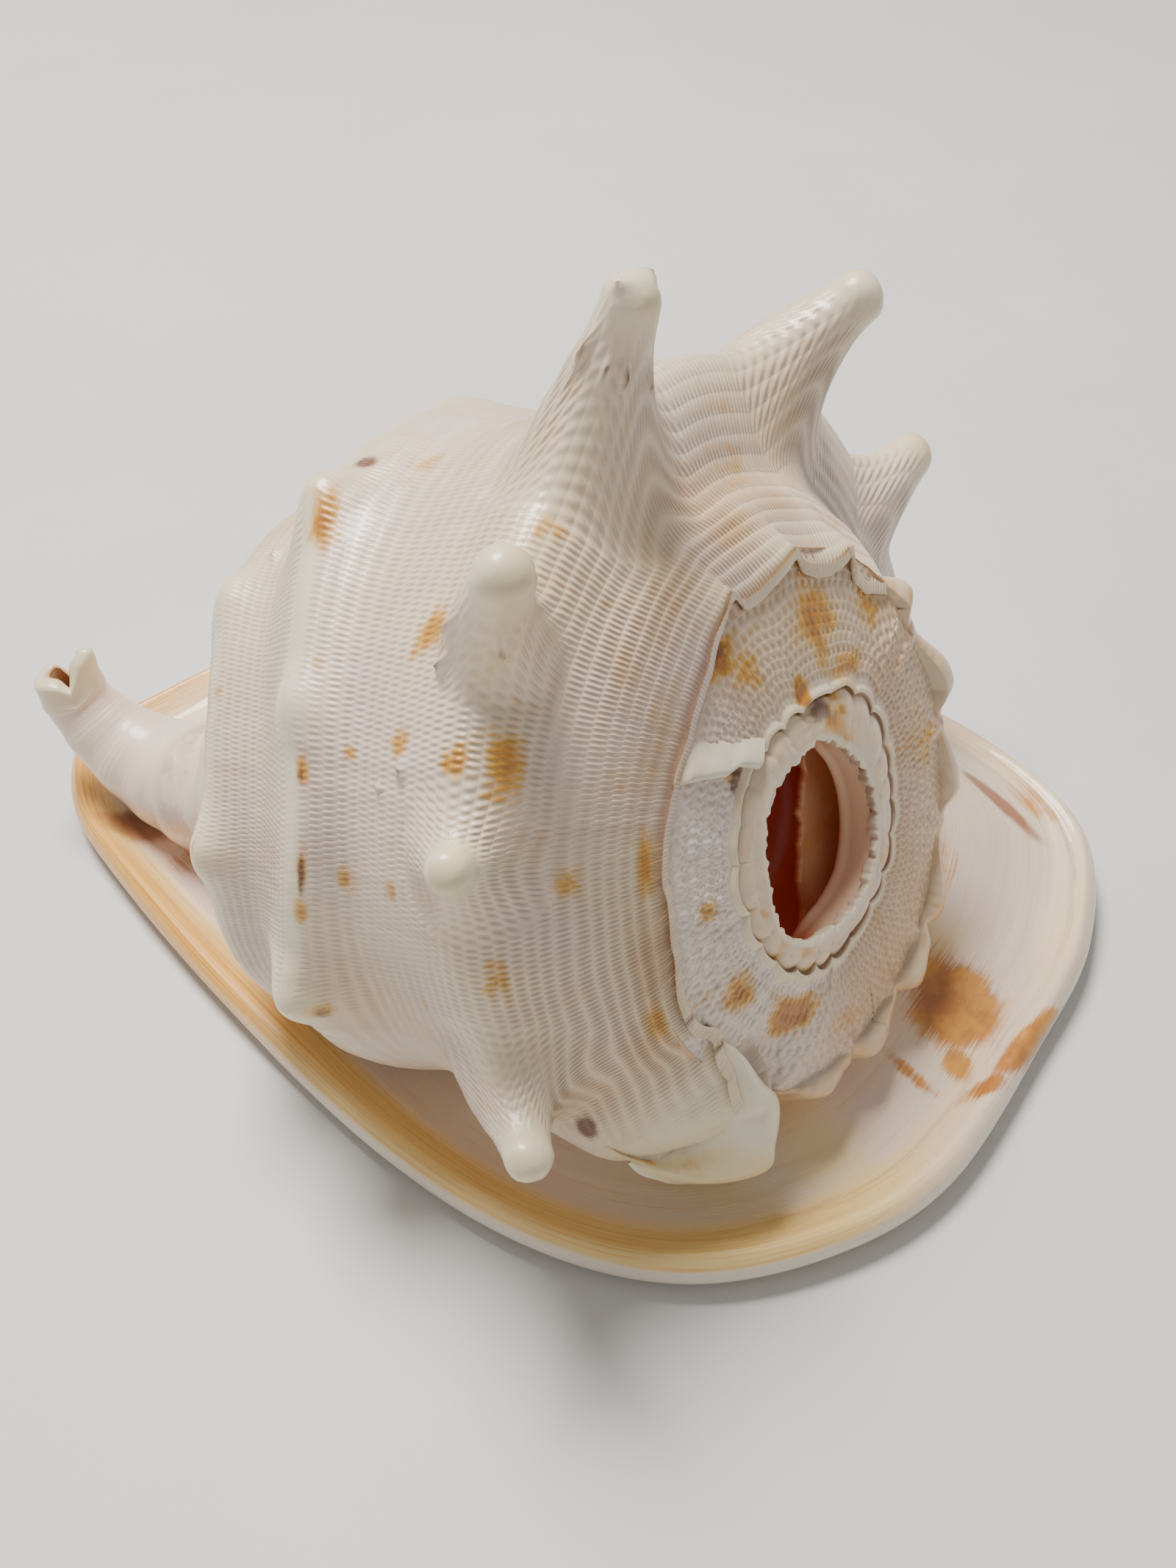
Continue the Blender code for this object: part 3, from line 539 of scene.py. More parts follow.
def spire(material):
    """The older whorls: the pitted ramp, its knobs, the wavy seam, the inner ring and the broken rim."""
    columns = 900
    t = radians(linspace(-180, 180, columns, endpoint=False))
    degrees = np.degrees(t)
    free = clip(bare(degrees), 0, 1)
    phase = 0.5 * LOBES_A_TURN * t + 0.55 * sin(3 * t + 1) + 0.3 * sin(7 * t)
    lobe = np.abs(sin(phase)) ** 0.6
    seam = interp(degrees, *zip(*SEAM)) - 0.7 + (1.15 + 0.5 * sin(5 * t + 2)) * lobe
    plain_hole = interp(degrees, *zip(*HOLE))
    hole = plain_hole + 0.22 * sin(23 * t) + 0.2 * sin(41 * t + 1) + 0.12 * sin(67 * t)
    s_edge, r_edge = profile_at(LAST_ROW, t)
    by_lip = hump(degrees, -137, 13)
    inside_edge = smooth_table(LAPPED_EDGE, degrees, 9) + 3.5 - 3 * by_lip
    covered = on_face(EDGE_HEIGHT - 2 - 4 * by_lip, inside_edge, t)
    knob = knob_reach = fold = np.zeros_like(t)
    for knob_deg, height, reach in SPIRE_KNOBS:
        away = turned(degrees - knob_deg)
        # Each knob rises gently and ends in a sharp fold on its newer side
        raised = exp(-(np.abs(away / where(away < 0, 1.5 * KNOB_HALF, 0.62 * KNOB_HALF)) ** 2.4)) * free
        knob = maximum(knob, 1.3 * height * raised)
        knob_reach = maximum(knob_reach, reach * raised)
        fold = maximum(fold, hump(away, 1.15 * KNOB_HALF, 2.2) * free)

    def by_bareness(hidden, open_air):
        return hidden + (open_air - hidden) * free[:, None]

    foot = by_bareness(place(s_edge - 8, r_edge + 1, t), on_face(-20, 43, t))
    under = by_bareness(covered - ALONG * 6, on_face(-8, 45 + 0.5 * knob_reach, t))
    # Below, the older whorl stands on the base with a steep conical wall under each knob
    low = (rise(-cos(t), 0.25, 0.75) * free)[:, None]
    skirt = on_face(-5, 46 + 0.8 * knob_reach, t)
    on_base = skirt - array([7, 0, 0])
    on_base[:, 2] = 6.5
    under = under + (skirt * 0.55 + on_base * 0.45 - under) * low
    foot = foot + (on_base - foot) * low
    turn_over = by_bareness(covered - ALONG * 1.5, on_face(-4.4 + 0.8 * knob, 46.4 + 1.2 * knob_reach, t))
    ring = by_bareness(covered, on_face(-3.2 + knob * 0.9, 45.6 + knob_reach, t))
    ring_top = by_bareness(covered, on_face(-2.5 + 0.8 * knob, 43 + 0.5 * knob_reach, t))
    ramp_rows = 36
    swell = 0.25 * waves(t * 7, 0 * t, 3)
    # From the foot inwards: kind of surface, number of rows, how far they bow out and the line that ends them
    stations = (
        ("wall", 8, 0, under),
        ("wall", 8, 0, turn_over),
        ("ring", 4, 0.15, ring),
        ("ring", 8, 0.3, ring_top),
        ("ramp", ramp_rows, 0.5, on_face(-0.9, seam + 1.6, t)),
        ("lip", 3, 0.12, on_face(-0.35 + 0.3 * lobe + swell, seam + 0.6, t)),
        ("lip", 4, 0.08, on_face(-0.55 + 0.2 * lobe + swell, seam, t)),
        ("crevice", 3, 0, on_face(-1.4, seam + 0.12, t)),
        ("crevice", 2, 0, on_face(-1.8, seam - 0.22, t)),
        ("crevice", 3, 0, on_face(-1.2, seam - 0.45, t)),
        ("inner", 3, 0.1, on_face(-0.7, seam - 0.9, t)),
        ("inner", 8, 0.3, on_face(0.15 * lobe - 2 * swell, 0.5 * seam + 0.5 * plain_hole, t)),
        ("inner", 6, 0.1, on_face(0.25 + swell, 0.7 * plain_hole + 0.3 * hole + 1, t)),
        ("rim", 3, 0.05, on_face(0.1, hole + 0.1, t)),
        ("rim", 2, 0, on_face(-0.35, hole + 0.1 * sin(31 * t), t)),
        ("broken", 6, 0, on_face(-1.9 + 0.3 * sin(19 * t), hole + 0.5 + 0.3 * sin(13 * t + 2), t)),
        ("broken", 4, 0, on_face(-3.4, hole + 2.4, t)),
    )
    rows = []
    start = foot
    for kind, count, bow, end in stations:
        for share in linspace(0, 1, count, endpoint=False):
            rows.append(start + (end - start) * share + ALONG * 4 * bow * share * (1 - share))
        start = end
    points = stack([*rows, start])
    kinds = array([kind for kind, count, bow, end in stations for row in range(count)] + ["broken"])
    normals = grid_normals(points, around=True)

    def on_rows(*names):
        return np.isin(kinds, names)[:, None] * 1

    ramp = on_rows("ramp")
    first = int(np.argmax(kinds == "ramp"))
    share = clip((arange(len(points))[:, None] - first) / ramp_rows, 0, 1)
    wall = on_rows("wall", "ring")
    pitted = ramp * between(share, 0, 0.05, 0.88, 1)
    net_u = t * 68 / pi + 0.25 * waves(share * 6, t * 4, 3)
    net_w = share * 12.5 + 0.25 * waves(t * 5, share * 3, 2)
    cords = 0.5 + 0.5 * cos(2 * pi * net_w)
    left = rise(-cos(t - radians(90)), -0.2, 0.8)
    relief = -0.3 * pitted * cords * (0.5 + 0.5 * cos(2 * pi * net_u))
    relief = relief + (0.15 + 0.2 * left) * waves(t * 22, share * 9, 6) * maximum(ramp, wall)
    ripple = 0.9 * (knob - 1.3 * fold) * ramp * (1 - share) ** 1.6
    relief = relief + ripple - 0.5 * fold * on_rows("ring")
    points = points + normals * relief[..., None]

    face_radius = np.linalg.norm(points - on_face(0, 0, 0), axis=-1)

    def reach(spot_deg, spot_r, half_r, half_t):
        across = radians(turned(degrees - spot_deg)) * face_radius
        return hypot((face_radius - spot_r) / half_r, across / half_t) / 1.3

    top = rise(cos(t - radians(45)), -0.1, 0.7)
    inner = on_rows("inner")
    enamel = 0.7 * on_rows("lip", "rim") + 0.25 * inner
    enamel = maximum(enamel, 0.6 * rise(share, 0.94, 1) * ramp)
    tanned = ramp * (0.25 + 0.25 * top + 0.3 * free + 0.6 * low.T)
    knob_tips = maximum(on_rows("ring"), (1 - share) ** 4 * ramp)
    enamel = maximum(enamel, clip(0.16 * knob, 0, 0.6) * knob_tips)
    marks = {
        "ochre": 1.25 * strongest(SPIRE_OCHRE, reach) + 0.8 * inner * waves(t * 6, face_radius * 0.6, 4),
        "tan": tanned + 0.8 * wall + 0.35 * on_rows("inner", "lip"),
        # Painted light: on the ramp's left side the pits are paler, and below its top the white is stronger;
        # the faint white over the whole ramp is its own tone.
        "pits": (1 - 0.2 * ramp * left) * (1 - 0.95 * on_rows("inner", "rim", "lip", "crevice", "broken")),
        "white": ramp * (0.5 * left * (1 - top) + 0.1),
        # Painted shade: brown in the seam's crevice rows and down the wall at each knob's fold; the rest of
        # the brown is stains.
        "brown": 0.52 * on_rows("crevice") + strongest(SPIRE_BROWN, reach) + 0.45 * fold * wall
        + 0.4 * inner * waves(t * 9, face_radius * 0.9, 5),
        "enamel": clip(enamel + on_rows("broken"), 0, 1),
        "cream": 0.55 * top * on_rows("lip", "inner") * rise(waves(t * 5, face_radius * 0.5, 9), -0.2, 0.5),
        "net_u": net_u,
        "net_w": net_w,
    }
    shell_piece("spire", points, marks, material, around=True)


# Sections of the rim, upper and under side: distance inwards, height, more height on the far side
BASE_TOP = (
    (0, 6, 1.9), (0.9, 8, 3.4), (3, 9.3, 5), (6, 7.9, 6.5), (10, 6, 8.5), (17, 6, 12),
    (27, 9, 14), (40, 14, 10),
)
BASE_UNDER = (
    (0, 5, 1.2), (0.7, 3.4, 0), (2.4, 1.4, 0), (5, 0.25, 0), (9, 0.15, 0), (13, 0.4, 0),
    (22, 2.8, 0), (38, 4.7, 0),
)
# Marks on the shield: x, y, half lengths, turn, strength. Ochre and cream are stains, brown is painted shade.
SHIELD_MARKS = {
    # The golden patch and its streaks, and stains along the rim and by the canal
    "ochre": (
        (92.5, -20, 10.5, 9.5, 60, 1.3), (97, -33, 5, 3, 60, 0.9), (90, -39.5, 7, 1.8, 23, 0.8),
        (108, -24, 13, 2.8, -70, 1.25), (103.5, -37, 5, 2.4, -60, 1.1), (94, 36, 10, 5, 20, 0.6),
        (-66, -55, 10, 4, -25, 0.6), (78, 8, 9, 6, 60, 0.5),
    ),
    # Painted shade in the fold behind the spire and in the crevice by the canal
    "brown": ((87, 29.5, 13, 2.4, 19, 1), (-82, -50, 13, 7, -25, 1)),
    "cream": (
        (80, -62, 17, 7, 28, 0.9), (62, -76, 16, 6, 5, 0.7), (107, 8, 20, 4, -90, 0.8),
        (86, -8, 5, 5, 0, 0.7),
    ),
}


def base(material):
    """The flared base: rolled rim, banded shield, groove beside the rim and the underside with its mouth."""
    around = 640
    centre = array(RIM_CENTRE)
    outline = spline(RIM, arange(around) * len(RIM) / around, closed=True)
    rays = outline - centre
    lengths = np.linalg.norm(rays, axis=1)
    far = rise(rays[:, 1] / lengths, -0.05, 0.75)
    top_at = concatenate([linspace(0, 3, 16, endpoint=False), linspace(3, 7, 34)])
    under_at = concatenate([linspace(0, 3, 12, endpoint=False), linspace(3, 7, 32)])
    rows = concatenate([spline(BASE_TOP, top_at)[::-1], spline(BASE_UNDER, under_at)])
    grid = []
    for inward, height, more in rows:
        at = centre + rays * maximum(1 - inward / lengths, 0.12)[:, None]
        grid.append(np.column_stack([at, height + more * far]))
    inwards = [*rows[: len(top_at), 0], *(-rows[len(top_at) :, 0] - 0.01)]
    # The underside goes on from its inner ring to the line of the mouth
    ring = grid[-1]
    mouth = spline(SLIT_LINE, clip((ring[:, 0] + 76) / 136, 0, 1) * (len(SLIT_LINE) - 1))
    for share in linspace(0, 1, 45)[1:]:
        at = ring[:, :2] + (mouth - ring[:, :2]) * (1 - (1 - share) ** 1.5)
        grid.append(np.column_stack([at, ring[:, 2]]))
        inwards.append(-38 - 20 * share)
    # The shield goes on under the body whorl, so that no view looks past it into the shell
    ring = grid[0]
    middle = ring * (0.8, 0, 0) + (0, -30, 7.5)
    for share in linspace(0, 1, 13)[1:]:
        at = ring * (1 - share) + middle * share
        at[:, 2] += 7 * sin(pi * share) * far
        grid.insert(0, above_mouth(at))
        inwards.insert(0, 40 + 20 * share)
    points = stack(grid)
    inwards = np.repeat(inwards, around).reshape(-1, around)
    x, y = points[..., 0], points[..., 1]
    upper = inwards > 0
    angle = arange(around)[None, :] * 2 * pi / around

    # A fine step runs beside the rolled rim, and the growth of the shield leaves low streaks along it
    groove_at = interp(y, (-80, -73, -46, -31, -12, 5, 40), (9.5, 8.6, 7.6, 6.4, 4.6, 4.4, 6))
    groove_at = groove_at + 0.35 * waves(angle * 26, 0 * angle, 3)
    right = rise(x, 76, 84)
    step = hump(inwards, groove_at, where(inwards < groove_at, 0.35, 0.8)) * right * upper
    streaks = 0.16 * waves(inwards * 1.1, angle * 3, 2) + 0.12 * waves(x * 0.12, y * 0.12, 4)
    ledge = 0.5 * right * rise(inwards, groove_at - 0.4, groove_at + 0.2) * rise(-inwards, -26, -12)
    points[..., 2] += upper * (streaks * rise(inwards, 0.5, 4) - 1 * step + ledge)

    # The mouth: a trough along the slit, with teeth on the lip's side and folds on the shield's side
    line = spline(SLIT_LINE, linspace(0, len(SLIT_LINE) - 1, 160))
    flat = points[..., :2].reshape(-1, 2)
    distance = np.full(len(flat), 1e9)
    side = np.zeros(len(flat))
    share = np.zeros(len(flat))
    for k in range(len(line) - 1):
        ahead = line[k + 1] - line[k]
        away = flat - line[k]
        along = clip(away @ ahead / (ahead @ ahead), 0, 1)
        gap = away - along[:, None] * ahead
        reach = hypot(gap[:, 0], gap[:, 1])
        closer = reach < distance
        distance = where(closer, reach, distance)
        side = where(closer, np.sign(ahead[0] * away[:, 1] - ahead[1] * away[:, 0]), side)
        share = where(closer, (k + along) / (len(line) - 1), share)
    half = 6 * sin(pi * (0.12 + 0.8 * share)) ** 0.6
    toothed = between(share, 0.1, 0.22, 0.82, 0.93)
    teeth_far = 0.5 + 0.5 * cos(2 * pi * 11 * share)
    teeth_near = 0.5 + 0.5 * cos(2 * pi * 16 * share + 1)
    half = half - toothed * where(side > 0, 2.4 * teeth_far, 1.2 * teeth_near)
    trough = 1 - rise(distance, half - 0.8, half + 1.6)
    ends = between(share, 0, 0.02, 0.98, 1)
    trough = trough * (distance < 12) * ends
    ribs = toothed * hump(distance, half + 3, 4.5)
    ribs = ribs * where(side > 0, 1.6 * teeth_far, 0.8 * teeth_near)
    swell = 1.2 * hump(distance, 8.5, 4) * toothed * (side > 0)
    deep = 7.5 + 11.5 * rise(flat[:, 0], -58, -28) * rise(1 - share, 0, 0.25)
    depth = (deep * trough).reshape(upper.shape)
    drop = (ribs + swell).reshape(upper.shape)
    under = inwards < 0
    points[..., 2] += under * (depth - drop * (1 - trough.reshape(upper.shape)))
    points[..., 2] = maximum(points[..., 2], 0.05)

    def spot_reach(mark_x, mark_y, half_a, half_b, turn):
        turn = radians(turn)
        a = (x - mark_x) * cos(turn) - (y - mark_y) * sin(turn)
        b = (x - mark_x) * sin(turn) + (y - mark_y) * cos(turn)
        return hypot(a / half_a, b / half_b)

    marks = {kind: strongest(spots, spot_reach, 3) * upper for kind, spots in SHIELD_MARKS.items()}
    # Painted shade: the step beside the rim is darkened brown.
    marks["brown"] = maximum(marks["brown"], 0.5 * step)
    trough_map = trough.reshape(upper.shape) * under
    ribs_map = (ribs / 1.6).reshape(upper.shape) * under
    marks["mouth"] = clip(trough_map * 1.2 - ribs_map, 0, 1)
    marks["tooth"] = clip(ribs_map, 0, 1)
    marks["canal_end"] = rise(x, 5, -45) * rise(y, 25, -15)
    marks["near_side"] = clip(rise(y, 0, -45) + 0.35, 0, 1) * rise(x, 108, 85)
    marks["rim_way"] = inwards
    marks["rim_turn"] = angle
    shell_piece("flared_base", points, marks, material, around=True)


def canal_shoulder(material):
    """The narrow end of the body whorl, closing in around the canal."""
    t = linspace(-pi, pi, 240)
    start = body_point(0.3, t)
    centre = array([-60, -42, 18.5])
    ways = start - centre
    ways[:, 0] = 0
    end = centre + unit(ways) * 13.5
    share = linspace(0, 1, 24)[:, None, None]
    points = above_mouth(start + (end - start) * share + array([-20, 0, 0]) * share * (1 - share))
    shell_piece("canal_shoulder", points, {"enamel": 0.4, "tan": 0.15}, material)


# How far the canal's rim reaches beyond the tube's end: turn around the tube from its left side over the near
# side, and reach
CANAL_RIM = (
    (0, 0.8), (60, 0.3), (100, 0), (120, -0.8), (138, -3), (155, -1), (175, 1.8), (198, 3.4), (216, 3.2),
    (232, 1), (248, -5), (268, -7.5), (290, -7.5), (312, -3), (330, 0.2), (345, 0.9), (360, 0.8),
)


def canal(material):
    """The curled siphonal canal, a thick tube with a notched rim."""
    steps = 110
    across = 120
    rows = spline(CANAL, linspace(0, len(CANAL) - 1, steps))
    turn = linspace(0, 2 * pi, across, endpoint=False)[:, None]
    reach = interp(np.degrees(turn), *zip(*CANAL_RIM))
    outer = []
    inner = []
    for i, row in enumerate(rows):
        ahead = unit(rows[min(i + 1, steps - 1)][:3] - rows[max(i - 1, 0)][:3])
        side = unit(cross(ahead, (0, 1, 0)))
        other = cross(ahead, side)
        share = i / (steps - 1)
        out = cos(turn) * side + sin(turn) * other
        ripple = 1 + 0.02 * sin(3 * turn + 5 * share) + 0.01 * sin(46 * share) * (1 + sin(turn))
        near_end = rise(share, 0.8, 1)
        cut = reach * near_end
        # A thick collar at the mouth, whose flap spreads outwards on the right
        collar = 0.6 * rise(share, 0.84, 0.88)
        flap = 2.2 * near_end**2 * hump(turn, radians(205), 0.45)
        wall = 2.2 + 0.9 * sin(turn) ** 2 + collar
        for line, beyond in ((outer, collar), (inner, -wall)):
            line.append(row[:3] + (row[3] * ripple + beyond + flap) * out + ahead * cut)
    outer = stack(outer)
    inner = stack(inner)
    first_inner = 50
    ahead = unit(outer[-1] - outer[-3])
    lip = [
        (1 - share) * outer[-1] + share * inner[-1] + bulge * ahead
        for share, bulge in ((0.18, 0.55), (0.5, 0.85), (0.82, 0.55))
    ]
    points = above_mouth(concatenate([outer, stack(lip), inner[first_inner:][::-1]], axis=0))
    inside = concatenate([np.zeros(steps), [0, 0.15, 0.5], linspace(0.6, 1, steps - first_inner)])
    way = concatenate([linspace(0, 1, steps), np.ones(3), linspace(1, 0.5, steps - first_inner)])
    stain = hump(np.linalg.norm(points - array([-71, -55, 8]), axis=-1), 0, 5)
    marks = {"stain": stain, "inside": inside[:, None], "way": way[:, None]}
    shell_piece("siphonal_canal", points, marks, material, around=True)


# The old lip's band below the spire: where it leaves the body whorl and the point of its free edge
OLD_LIP = (
    (9, -109, 63.6, -78, 48.8), (9, -115, 65.2, -75.2, 45.6), (9, -120, 67.3, -73.8, 41.2),
    (9, -124.5, 70, -72.5, 35.2), (8.85, -127, 72.7, -71, 30.5), (8.72, -128.5, 74.3, -73.5, 28),
    (8.6, -130.5, 74.9, -76.3, 24), (8.45, -131, 74.8, -77.8, 19), (8.3, -130, 70, -81.5, 17.2),
    (8.1, -127, 64.1, -85.5, 18.2), (7.95, -122, 59.1, -88.4, 21.5), (7.8, -117, 54.8, -90.6, 25.8),
)


def old_lip(material):
    """The turned-back lip of an earlier growth stage, a smooth thick band with a free edge."""
    count = 220
    rows = array(OLD_LIP)
    at = linspace(0, len(rows) - 1, count)
    edge = spline(body_point(rows[:, 0], radians(rows[:, 1])), at)
    below = (spline(body_point(rows[:, 0] - back, radians(rows[:, 1])), at) for back in (0.5, 0.25, 0.08))
    free = spline(rows[:, 2:], at)
    out = cross(np.gradient(free, axis=0), free - edge)
    out = unit(out * np.sign(out @ ALONG)[:, None])
    for _ in range(12):
        out = unit(out + concatenate([out[:1], out[:-1]]) + concatenate([out[1:], out[-1:]]))
    # The band comes up from under the body whorl and grows to its full thickness away from both ends
    along_way = at / (len(rows) - 1)
    full = (rise(along_way, -0.05, 0.3) * rise(1 - along_way, -0.02, 0.25))[:, None]
    inward = unit(place(60, 0, 0) - edge)
    section = (
        (0, 0.1), (0.12, 1), (0.35, 1.7), (0.6, 1.7), (0.8, 1.3), (0.93, 0.6), (1, -0.4), (1, -1.5),
        (0.95, -2.4),
    )
    lines = [line + inward * depth for line, depth in zip(below, (4.5, 2.8, 1.3))]
    for share, raised in section:
        depth = raised * full if raised > 0 else raised * (0.35 + 0.65 * full)
        lines.append(edge + (free - edge) * share + out * depth)
    lines += [0.3 * edge + 0.7 * free + inward * 5, 0.7 * edge + 0.3 * free + inward * 8, edge + inward * 11]
    at_rows = linspace(0, len(lines) - 1, 80)
    points = spline(stack(lines), at_rows)
    points[..., 2] = maximum(points[..., 2], 5.6)
    across = at_rows[:, None]
    along = along_way[None, :]
    ragged = 0.6 * sin(along * 61) + 0.4 * sin(along * 143 + 1)
    points = points + out[None] * (0.25 * waves(along * 14, across * 0.7, 2))[..., None]
    under = rise(across, 8.6, 10.5)
    # Painted shade: tan at the band's start, where it rises between the body whorl and the spire, tan and
    # brown on the rows that turn under its free edge, and a faint brown along its join with the body whorl.
    marks = {
        "ochre": 0.8 * hump(along, 0.86, 0.08) * hump(across, 4.2, 1.6) * (1 - under),
        "tan": 0.7 * rise(along, 0.22, 0.02) + 0.25 * under,
        "brown": 0.6 * rise(across, 9.6, 11.5) + 0.15 * rise(across + ragged, 1.6, 0.9),
        "enamel": 1,
        "cream": rise(along, 0.5, 0.62) * rise(across, 3.4, 4.6) * (1 - under),
    }
    shell_piece("old_lip_band", points, marks, material)


def spire_varix(material):
    """The white band across the older whorl's ramp, with its overhanging edge towards the older side."""
    count = 90
    share = linspace(0, 1, count)
    radius = 39.3 - 14.3 * share
    new_edge = interp(share, (0, 0.35, 0.7, 1), (-29, -26.5, -20.5, -13))
    old_edge = interp(share, (0, 0.2, 0.6, 0.72, 1), (-40.5, -38.3, -33.5, -29, -25.5))
    slope = (40.3 - radius) / 13.7
    base_height = -5 + 4 * slope + 2 * slope * (1 - slope)
    rows = []
    section = (
        (1.06, -0.6), (1, 0), (0.85, 0.5), (0.6, 1.15), (0.35, 1.7), (0.15, 1.95), (0.02, 1.7), (-0.04, 1.1),
        (0, 0.5), (0.12, 0), (0.32, -0.8),
    )
    for across, raised in section:
        t = radians(old_edge + (new_edge - old_edge) * across)
        rows.append(on_face(base_height + raised * (0.3 + 0.7 * rise(share, 0.02, 0.16)), radius, t))
    at_rows = linspace(0, len(rows) - 1, 60)
    points = spline(stack(rows), at_rows)
    across = at_rows[:, None]
    stain_and_shade = 0.8 * hump(share, 0.7, 0.16) * rise(across, 6, 8)
    # Painted shade: brown on the rows that curl under the overhanging edge.
    marks = {"ochre": stain_and_shade, "brown": 0.8 * rise(across, 7.6, 9), "enamel": 1}
    shell_piece("spire_varix", points, marks, material)


def hollow(material):
    """The inside seen through the broken spire: the wall by the rim, painted pale on its right side as
    painted light, the deep wall and the pillar.
    """
    columns = 240
    t = linspace(-pi, pi, columns, endpoint=False)
    hole = interp(np.degrees(t), *zip(*HOLE))
    right = rise(cos(t - radians(125)), -0.1, 0.5)
    section = (
        (-3 + 1.4 * right, hole + 1.4 - 0.8 * right), (-5.5, hole + 3.6 - 2.9 * right),
        (-8.5, hole + 6.4 - 5 * right), (-11, 29), (-14, 32), (-20, 32.5), (-28, 29), (-34, 22), (-37, 14),
        (-37, 7), (-33, 4.5), (-24, 3.2), (-23, 0.6),
    )
    lines = [on_face(height, radius, t) for height, radius in section]
    at = linspace(0, len(lines) - 1, 110)
    points = above_mouth(spline(stack(lines), at))
    right = right[None, :]
    ragged = at[:, None] + 0.35 * waves(t * 9, 0 * t, 4)[None, :]
    # Painted light: the right side below the rim is painted pale, and the whole right side a little tan,
    # where light falls in through the hole.
    marks = {"pale": right * (1 - rise(ragged, 2.2, 2.5)), "tan": 0.25 * right}
    shell_piece("inner_hollow", points, marks, material, around=True)


def partition(material):
    """The broken inner wall of the older whorls, a thin jagged sheet inside the hollow."""
    count = 160
    degrees = linspace(55, 178, count)
    t = radians(degrees)
    jag = 1.1 * waves(t * 9, 0 * t, 2) + 0.5 * waves(t * 31, 0 * t, 5)
    edge = (
        (55, 24), (75, 18.5), (95, 17), (111, 14), (130, 14.2), (145, 15.5), (161, 19), (168, 25), (178, 29),
    )
    inner_r = interp(degrees, *zip(*edge))
    rows = []
    for share in linspace(0, 1, 40):
        radius = 30 + (inner_r + jag - 30) * share
        rows.append(on_face(-14 + 3.5 * (1 - share) ** 2 + 0.3 * sin(6 * share + 4 * t), radius, t))
    under = [row - ALONG * 1.4 for row in rows[::-1]]
    points = above_mouth(stack(rows + under))
    shell_piece("broken_partition", points, {"tan": 1}, material)


def linear(red, green, blue):
    """Scene-linear colour from display values between 0 and 255."""
    values = []
    for value in (red, green, blue):
        share = value / 255
        values.append(share / 12.92 if share <= 0.04045 else ((share + 0.055) / 1.055) ** 2.4)
    return (*values, 1)


# The material being built: its node tree and its colour so far
making = {}


def start(name):
    """Starts a new material, which the calls below build up."""
    material = bpy.data.materials.new(name)
    material.use_nodes = True
    making.update(material=material, tree=material.node_tree)


def fill(node, values):
    """Links or sets a node's inputs."""
    for key, value in values.items():
        if isinstance(value, bpy.types.NodeSocket):
            making["tree"].links.new(value, node.inputs[key])
        else:
            node.inputs[key].default_value = value


def add(kind, values=(), **settings):
    node = making["tree"].nodes.new("ShaderNode" + kind)
    for name, setting in settings.items():
        setattr(node, name, setting)
    fill(node, dict(values))
    return node.outputs


def mark(name):
    return add("Attribute", attribute_name=name)["Fac"]


def maths(operation, *values):
    return add("Math", enumerate(values), operation=operation)[0]


def times(a, b):
    return maths("MULTIPLY", a, b)


def plus(a, b):
    return maths("ADD", a, b)


def scaled(value, factor, added):
    return maths("MULTIPLY_ADD", value, factor, added)


def noise(scale, detail=4, roughness=0.55, vector=None, distortion=0):
    if vector is None:
        vector = add("TexCoord")["Object"]
    values = {"Scale": scale, "Detail": detail, "Roughness": roughness, "Distortion": distortion}
    return add("TexNoise", {**values, "Vector": vector})["Fac"]


def step(value, low, high):
    values = {"Value": value, "From Min": low, "From Max": high}
    return add("MapRange", values, interpolation_type="SMOOTHSTEP")["Result"]


def mix(share, a, b):
    return add("Mix", {"Factor": share, "A": a, "B": b}, data_type="RGBA")["Result"]


def ground(share, a, b):
    """The material's first colour, mixed from two."""
    making["colour"] = mix(share, a, b)


def paint(share, strength, tone):
    """Lays one more tone over the colour so far."""
    ground(times(share, strength), making["colour"], tone)


def vector(*values):
    return add("CombineXYZ", enumerate(values))[0]


def bump(height, distance, strength, normal=None):
    values = {"Height": height, "Distance": distance, "Strength": strength}
    if normal is not None:
        values["Normal"] = normal
    return add("Bump", values)["Normal"]


def finish(roughness, normal, coat, coat_roughness, subsurface=0):
    values = {
        "Base Color": making["colour"], "Roughness": roughness, "Normal": normal, "Coat Weight": coat,
        "Coat Roughness": coat_roughness, "Subsurface Weight": subsurface,
        "Subsurface Radius": (0.002, 0.0012, 0.0009), "Subsurface Scale": 1,
    }
    fill(making["tree"].nodes["Principled BSDF"], values)
    return making["material"]


LILAC_WHITE = linear(230, 208, 194)
WARM_WHITE = linear(240, 216, 180)
PINK_WHITE = linear(226, 196, 178)
CREAM = linear(240, 226, 194)
GREEN_CREAM = linear(223, 215, 187)
TAN = linear(214, 166, 108)
OCHRE = linear(218, 158, 42)
DEEP_OCHRE = linear(182, 112, 20)
BROWN = linear(106, 58, 30)


